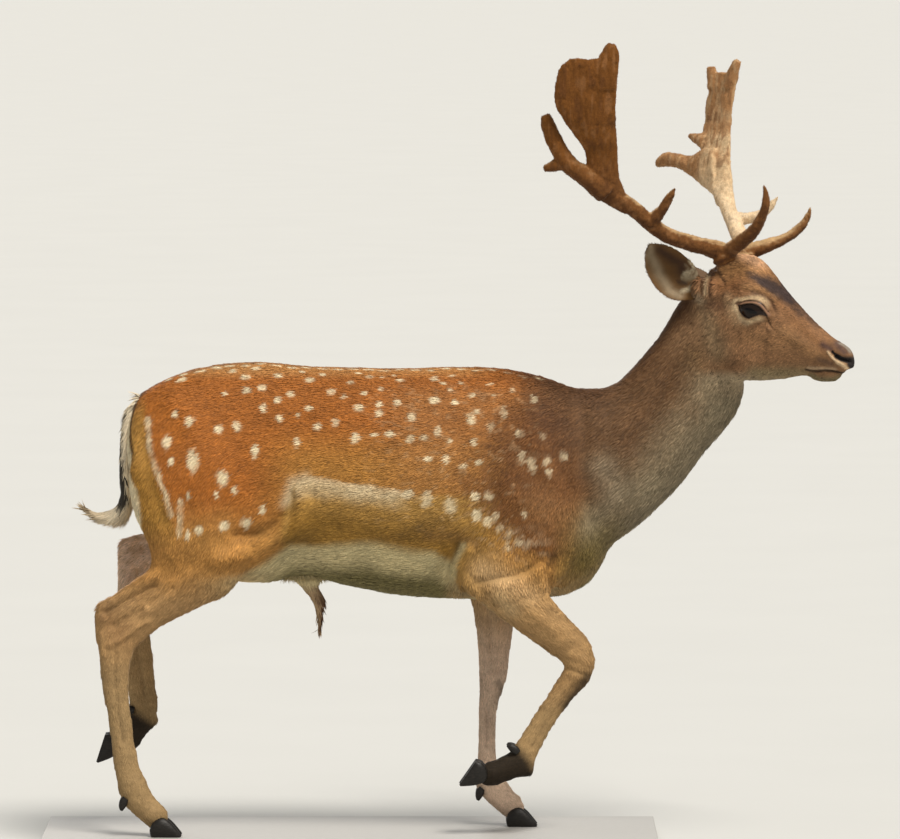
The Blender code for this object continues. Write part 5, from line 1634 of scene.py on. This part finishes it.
def fuzz(name, piece, colour_of):
    """The short nap of the velvet."""
    roots, normals, unwrap = scattered(piece, lambda points, _: np.full(len(points), NAP_DENSITY))
    count = len(roots)
    ways = CHANCE.standard_normal((count, 3)) * 0.5 + np.array((0.1, 0, 1.0))
    ways = laid_flat(ways, normals)
    length = CHANCE.uniform(0.002, 0.0036, count)
    colour = colour_of(roots, normals) * CHANCE.uniform(0.85, 1.35, count)[:, None]
    lift = CHANCE.uniform(0.35, 0.75, count)
    return blades(name, roots, normals, unwrap, ways, length, length * 0.22, lift, colour)


def tail_colour(points, normals, fleck):
    """Black along the back of the tail, white beneath it and tan at the tip."""
    turned = np.interp(points[:, 2], (0.66, 0.72), (0.2, -0.84))
    black = fade(normals[:, 0] + 0.2 * fleck - turned, 0.15, -0.15)
    black = black * fade(points[:, 2], 0.606, 0.63)
    colour = np.tile((0.72, 0.61, 0.44), (len(points), 1))
    lay(colour, (0.43, 0.33, 0.21), 0.8 * fade(points[:, 0], -0.435, -0.47))
    lay(colour, BLACK, 0.96 * black)
    return colour


def sheath_colour(points, normals, fleck):
    """Cream at the root, tan down the front and dark red-brown down the back."""
    colour = np.tile((0.4, 0.27, 0.15), (len(points), 1))
    lay(colour, CREAM, 0.8 * fade(points[:, 2], 0.462, 0.48))
    behind = fade(normals[:, 0] + 0.3 * fleck, -0.2, 0.4) * fade(points[:, 2], 0.47, 0.44)
    lay(colour, (0.11, 0.045, 0.022), 0.9 * behind)
    return colour


def hanging_coat(name, piece, rows, colour_of, length, width, lift, cover):
    """Long hair that runs down a tail or a sheath."""
    guides = tuple(np.array(x) for x in zip(*chain_lie(rows, None, None)))
    guides = (guides[0], guides[1], np.maximum(guides[2], 0.02))
    roots, normals, unwrap = scattered(
        piece, lambda points, _: np.full(len(points), 2 * cover / (length * width))
    )
    count = len(roots)
    ways = swung(lie_of(roots, normals, guides), normals, 0.14 * CHANCE.standard_normal(count))
    fleck = CHANCE.uniform(-1, 1, count)
    colour = colour_of(roots, normals, fleck) * CHANCE.uniform(0.8, 1.15, count)[:, None]
    return blades(
        name, roots, normals, unwrap, ways,
        length * CHANCE.uniform(0.7, 1.2, count), width * CHANCE.uniform(0.8, 1.2, count),
        lift * CHANCE.uniform(0.4, 1.4, count), colour,
    )


def ear_sculpted(piece, hand):
    """Raises the curl and the band inside an ear."""
    points, normals = surface_of(piece)
    flat, inside = ear_places(points, normals, hand)
    rise = 0.0022 * stroke(flat, EAR_CURL, 0.0034) + 0.002 * stroke(flat, EAR_BAND, 0.004)
    set_points(piece.data, points + normals * (rise * inside)[:, None])
    return piece


def ear_coat(name, piece, hand):
    """Short flat hair on both sides of an ear, a little longer on its curl."""
    root = HEAD @ Vector((0.0, hand * 0.045, 0.03))
    roots, normals, unwrap = scattered(piece, lambda points, _: np.full(len(points), EAR_DENSITY))
    count = len(roots)
    ways = laid_flat(roots - np.array(root), normals)
    flat, inside = ear_places(roots, normals, hand)
    curl = np.minimum(away(flat, EAR_CURL), away(flat, EAR_BAND))
    longer = inside * fade(curl, 0.008, 0.002)
    ways = swung(ways, normals, (0.14 + 0.2 * longer) * CHANCE.standard_normal(count))
    length = (0.0042 + 0.0008 * longer) * CHANCE.uniform(0.7, 1.25, count)
    lift = 0.12 + 0.08 * longer * CHANCE.random(count)
    colour = ear_colour(roots, normals, hand) * CHANCE.uniform(0.8, 1.2, count)[:, None]
    return blades(name, roots, normals, unwrap, ways, length, length * 0.2, lift, colour)


def stand_board():
    """A flat board with rounded corners, on which the standing feet rest."""
    size = (BASE_LENGTH, BASE_WIDTH, BASE_THICKNESS)
    bpy.ops.mesh.primitive_cube_add(size=1, location=(0, 0, -BASE_THICKNESS / 2), scale=size)
    board = take(bpy.context.active_object)
    board.name = "display_board"
    bpy.ops.object.transform_apply(location=True, rotation=True, scale=True)
    bpy.ops.object.mode_set(mode="EDIT")
    shape = bmesh.from_edit_mesh(board.data)
    bpy.ops.mesh.select_all(action="DESELECT")
    for edge in shape.edges:
        edge.select_set(abs(edge.verts[0].co.z - edge.verts[1].co.z) > 0.01)
    bpy.ops.mesh.bevel(offset=BASE_CORNER, segments=10)
    bpy.ops.mesh.select_all(action="DESELECT")
    for edge in shape.edges:
        edge.select_set(all(vert.co.z > -0.0001 for vert in edge.verts))
    bmesh.update_edit_mesh(board.data)
    bpy.ops.mesh.bevel(offset=0.003, segments=4)
    bpy.ops.object.mode_set(mode="OBJECT")
    bpy.ops.object.shade_smooth_by_angle(angle=math.radians(35))
    return board


# ---------------------------------------------------------------- the whole animal


def settle(piece, look, slot, *nodes):
    """Lifts a finished piece onto the board, and gives it its finish and its place in the frame."""
    piece.data.transform(Matrix.Translation((0, 0, BASE_THICKNESS)))
    piece.data.materials.clear()
    piece.data.materials.append(look)
    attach(piece, "root")
    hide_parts(*nodes)


SHEEN = {"Sheen_Weight": 0.06, "Sheen_Roughness": 0.45, "Specular_IOR_Level": 0.18}
HAIR = painted_look("hair", 0.62, 0.0022, 0.86, 1.12, **SHEEN)
HIDE = painted_look("hide", 0.7, 0.0012, 0.8, 1.15, 0.0008, **SHEEN)
VELVET = painted_look(
    "velvet", 0.85, 0.0015, 0.7, 1.2, 0.0012,
    Sheen_Weight=0.3, Sheen_Roughness=0.4, Sheen_Tint=(1.0, 0.72, 0.46, 1.0),
    Specular_IOR_Level=0.12,
)
EYE = painted_look(
    "eye", 0.12, 0.002, 0.9, 1.1, Specular_IOR_Level=0.16, Coat_Weight=0.05, Coat_Roughness=0.03
)
HORN = plain_look(
    "horn", (0.012, 0.01, 0.008), 0.46, 0.006, 0.6, 1.7, 0.0008, (1, 1, 4), Specular_IOR_Level=0.3
)
BOARD = plain_look(
    "painted_board", (0.42, 0.41, 0.39), 0.55, 0.004, 0.93, 1.05, 0.0002, (0.3, 3, 3)
)

LIMB_NODES = [f"{leg}_{part}" for leg in FEET for part in ("cannon", "foot")]
LIMB_NODES += ["hind_R_shank", "hind_L_shank", "fore_R_forearm", "fore_L_forearm"]
BODY_NODES = ["trunk", "hind_R_thigh", "hind_L_thigh"]
NECK_NODES = ["neck", "head"]
APPENDAGE_NODES = ["tail", "sheath", "ear_R", "ear_L"]

body = unwrapped(skin())
tree = BVHTree.FromObject(body, bpy.context.evaluated_depsgraph_get())
spots = spot_places(tree)
guides = lie_guides()
places = points_of(body.data)
toned(body.data, coat_colour(places, grain(places, 0.003, 9), spots))
shaded(body)
for piece, slot in coat(body, guides, spots):
    nodes = {"coat_brown": BODY_NODES, "neck_grey": NECK_NODES, "leg_buff": LIMB_NODES}[slot]
    settle(piece, HAIR, slot, *nodes)

tail_piece = unwrapped(loft("tail", tail_rows(), around=24, steps=6))
sheath_piece = unwrapped(loft("sheath", sheath_rows(), around=20, steps=6))
for piece, rows, colour_of, sizes, slot, name in (
    (tail_piece, tail_rows(), tail_colour, TAIL_HAIR, "tail_dark", "tail"),
    (sheath_piece, sheath_rows(), sheath_colour, SHEATH_HAIR, "coat_brown", "sheath"),
):
    toned(piece.data, colour_of(*surface_of(piece), 0.0))
    hair = hanging_coat(f"hair_of_{name}", piece, rows, colour_of, *sizes)
    settle(hair, HAIR, slot, name)
ears = []
for piece, hand, name in ((right_ear(), -1, "ear_R"), (left_ear(), 1, "ear_L")):
    unwrapped(ear_sculpted(piece, hand))
    toned(piece.data, ear_colour(*surface_of(piece), hand))
    settle(ear_coat(f"hair_of_{name}", piece, hand), HAIR, "neck_grey", name)
    ears.append(piece)
body = shaded(joined("skin", [body, tail_piece, sheath_piece, *ears]))
settle(body, HIDE, "coat_brown", *BODY_NODES, *NECK_NODES, *LIMB_NODES, *APPENDAGE_NODES)

for hand, key in ((-1, "R"), (1, "L")):
    settle(eyeball(f"eyeball_{key}", hand), EYE, "eye_dark", f"eye_{key}")
for key, forms, far in (("R", right_antler(), False), ("L", left_antler(), True)):
    piece = unwrapped(antler(f"velvet_antler_{key}", forms))
    toned(piece.data, antler_colour(*surface_of(piece), far))
    nodes = [f"antler_{key}_{part}" for part in ("base", "beam", "palm")]
    nap = fuzz(f"velvet_nap_{key}", piece, lambda p, n: antler_colour(p, n, far))
    settle(piece, VELVET, "velvet_brown", *nodes)
    settle(nap, VELVET, "velvet_brown", *nodes)
for foot, (fetlock, _, _) in FEET.items():
    hand = math.copysign(1, fetlock[1])
    for place, away_from in (("outer", hand), ("inner", -hand)):
        for made, part in ((claw, "claw"), (dewclaw, "dewclaw")):
            node_name = f"{foot}_{part}_{place}"
            piece = take(made(f"horn_of_{node_name}", foot, away_from))
            bpy.ops.object.shade_smooth_by_angle(angle=math.radians(40))
            settle(piece, HORN, "horn_black", node_name)
settle(stand_board(), BOARD, "base_grey", "stand_base")

# ---------------------------------------------------------------- floor, light and camera

bpy.ops.object.select_all(action="DESELECT")
bpy.ops.mesh.primitive_grid_add(x_subdivisions=8, y_subdivisions=8, size=1200)
floor = take(bpy.context.active_object)
floor.name = "studio_floor"
paper = plain_look("studio_paper", (0.56, 0.56, 0.54), 0.9, 0.5, 0.99, 1.01, 0.0001)
floor.data.materials.append(paper)


def lamp(name, way, strength, softness, colour):
    """A broad light from far off, which shines along the way given."""
    bpy.ops.object.light_add(type="SUN", location=-4 * Vector(way))
    light = bpy.context.active_object
    light.name = name
    light.data.energy = strength
    light.data.angle = math.radians(softness)
    light.data.color = colour
    light.rotation_euler = Vector(way).to_track_quat("-Z", "Y").to_euler()


lamp("key", (-0.3, 0.46, -0.86), 3.3, 22, (1.0, 0.95, 0.87))
lamp("rim", (0.25, -0.8, -0.62), 0.9, 30, (1.0, 0.98, 0.95))
room = bpy.data.worlds.new("studio")
bpy.context.scene.world = room
room.use_nodes = True
backdrop = room.node_tree.nodes["Background"].inputs
backdrop["Color"].default_value = (0.92, 0.92, 0.9, 1)
backdrop["Strength"].default_value = 0.42

towards = Vector((0, -math.cos(VIEW_LIFT), math.sin(VIEW_LIFT)))
bpy.ops.object.camera_add(location=VIEW_TARGET + VIEW_DISTANCE * towards)
camera = bpy.context.active_object
camera.rotation_euler = (VIEW_TARGET - camera.location).to_track_quat("-Z", "Y").to_euler()
camera.data.sensor_width = SENSOR_WIDTH
camera.data.lens = SENSOR_WIDTH * VIEW_DISTANCE / VIEW_WIDTH
camera.data.clip_end = FAR_END
bpy.context.scene.camera = camera
bpy.context.scene.view_settings.view_transform = "Standard"
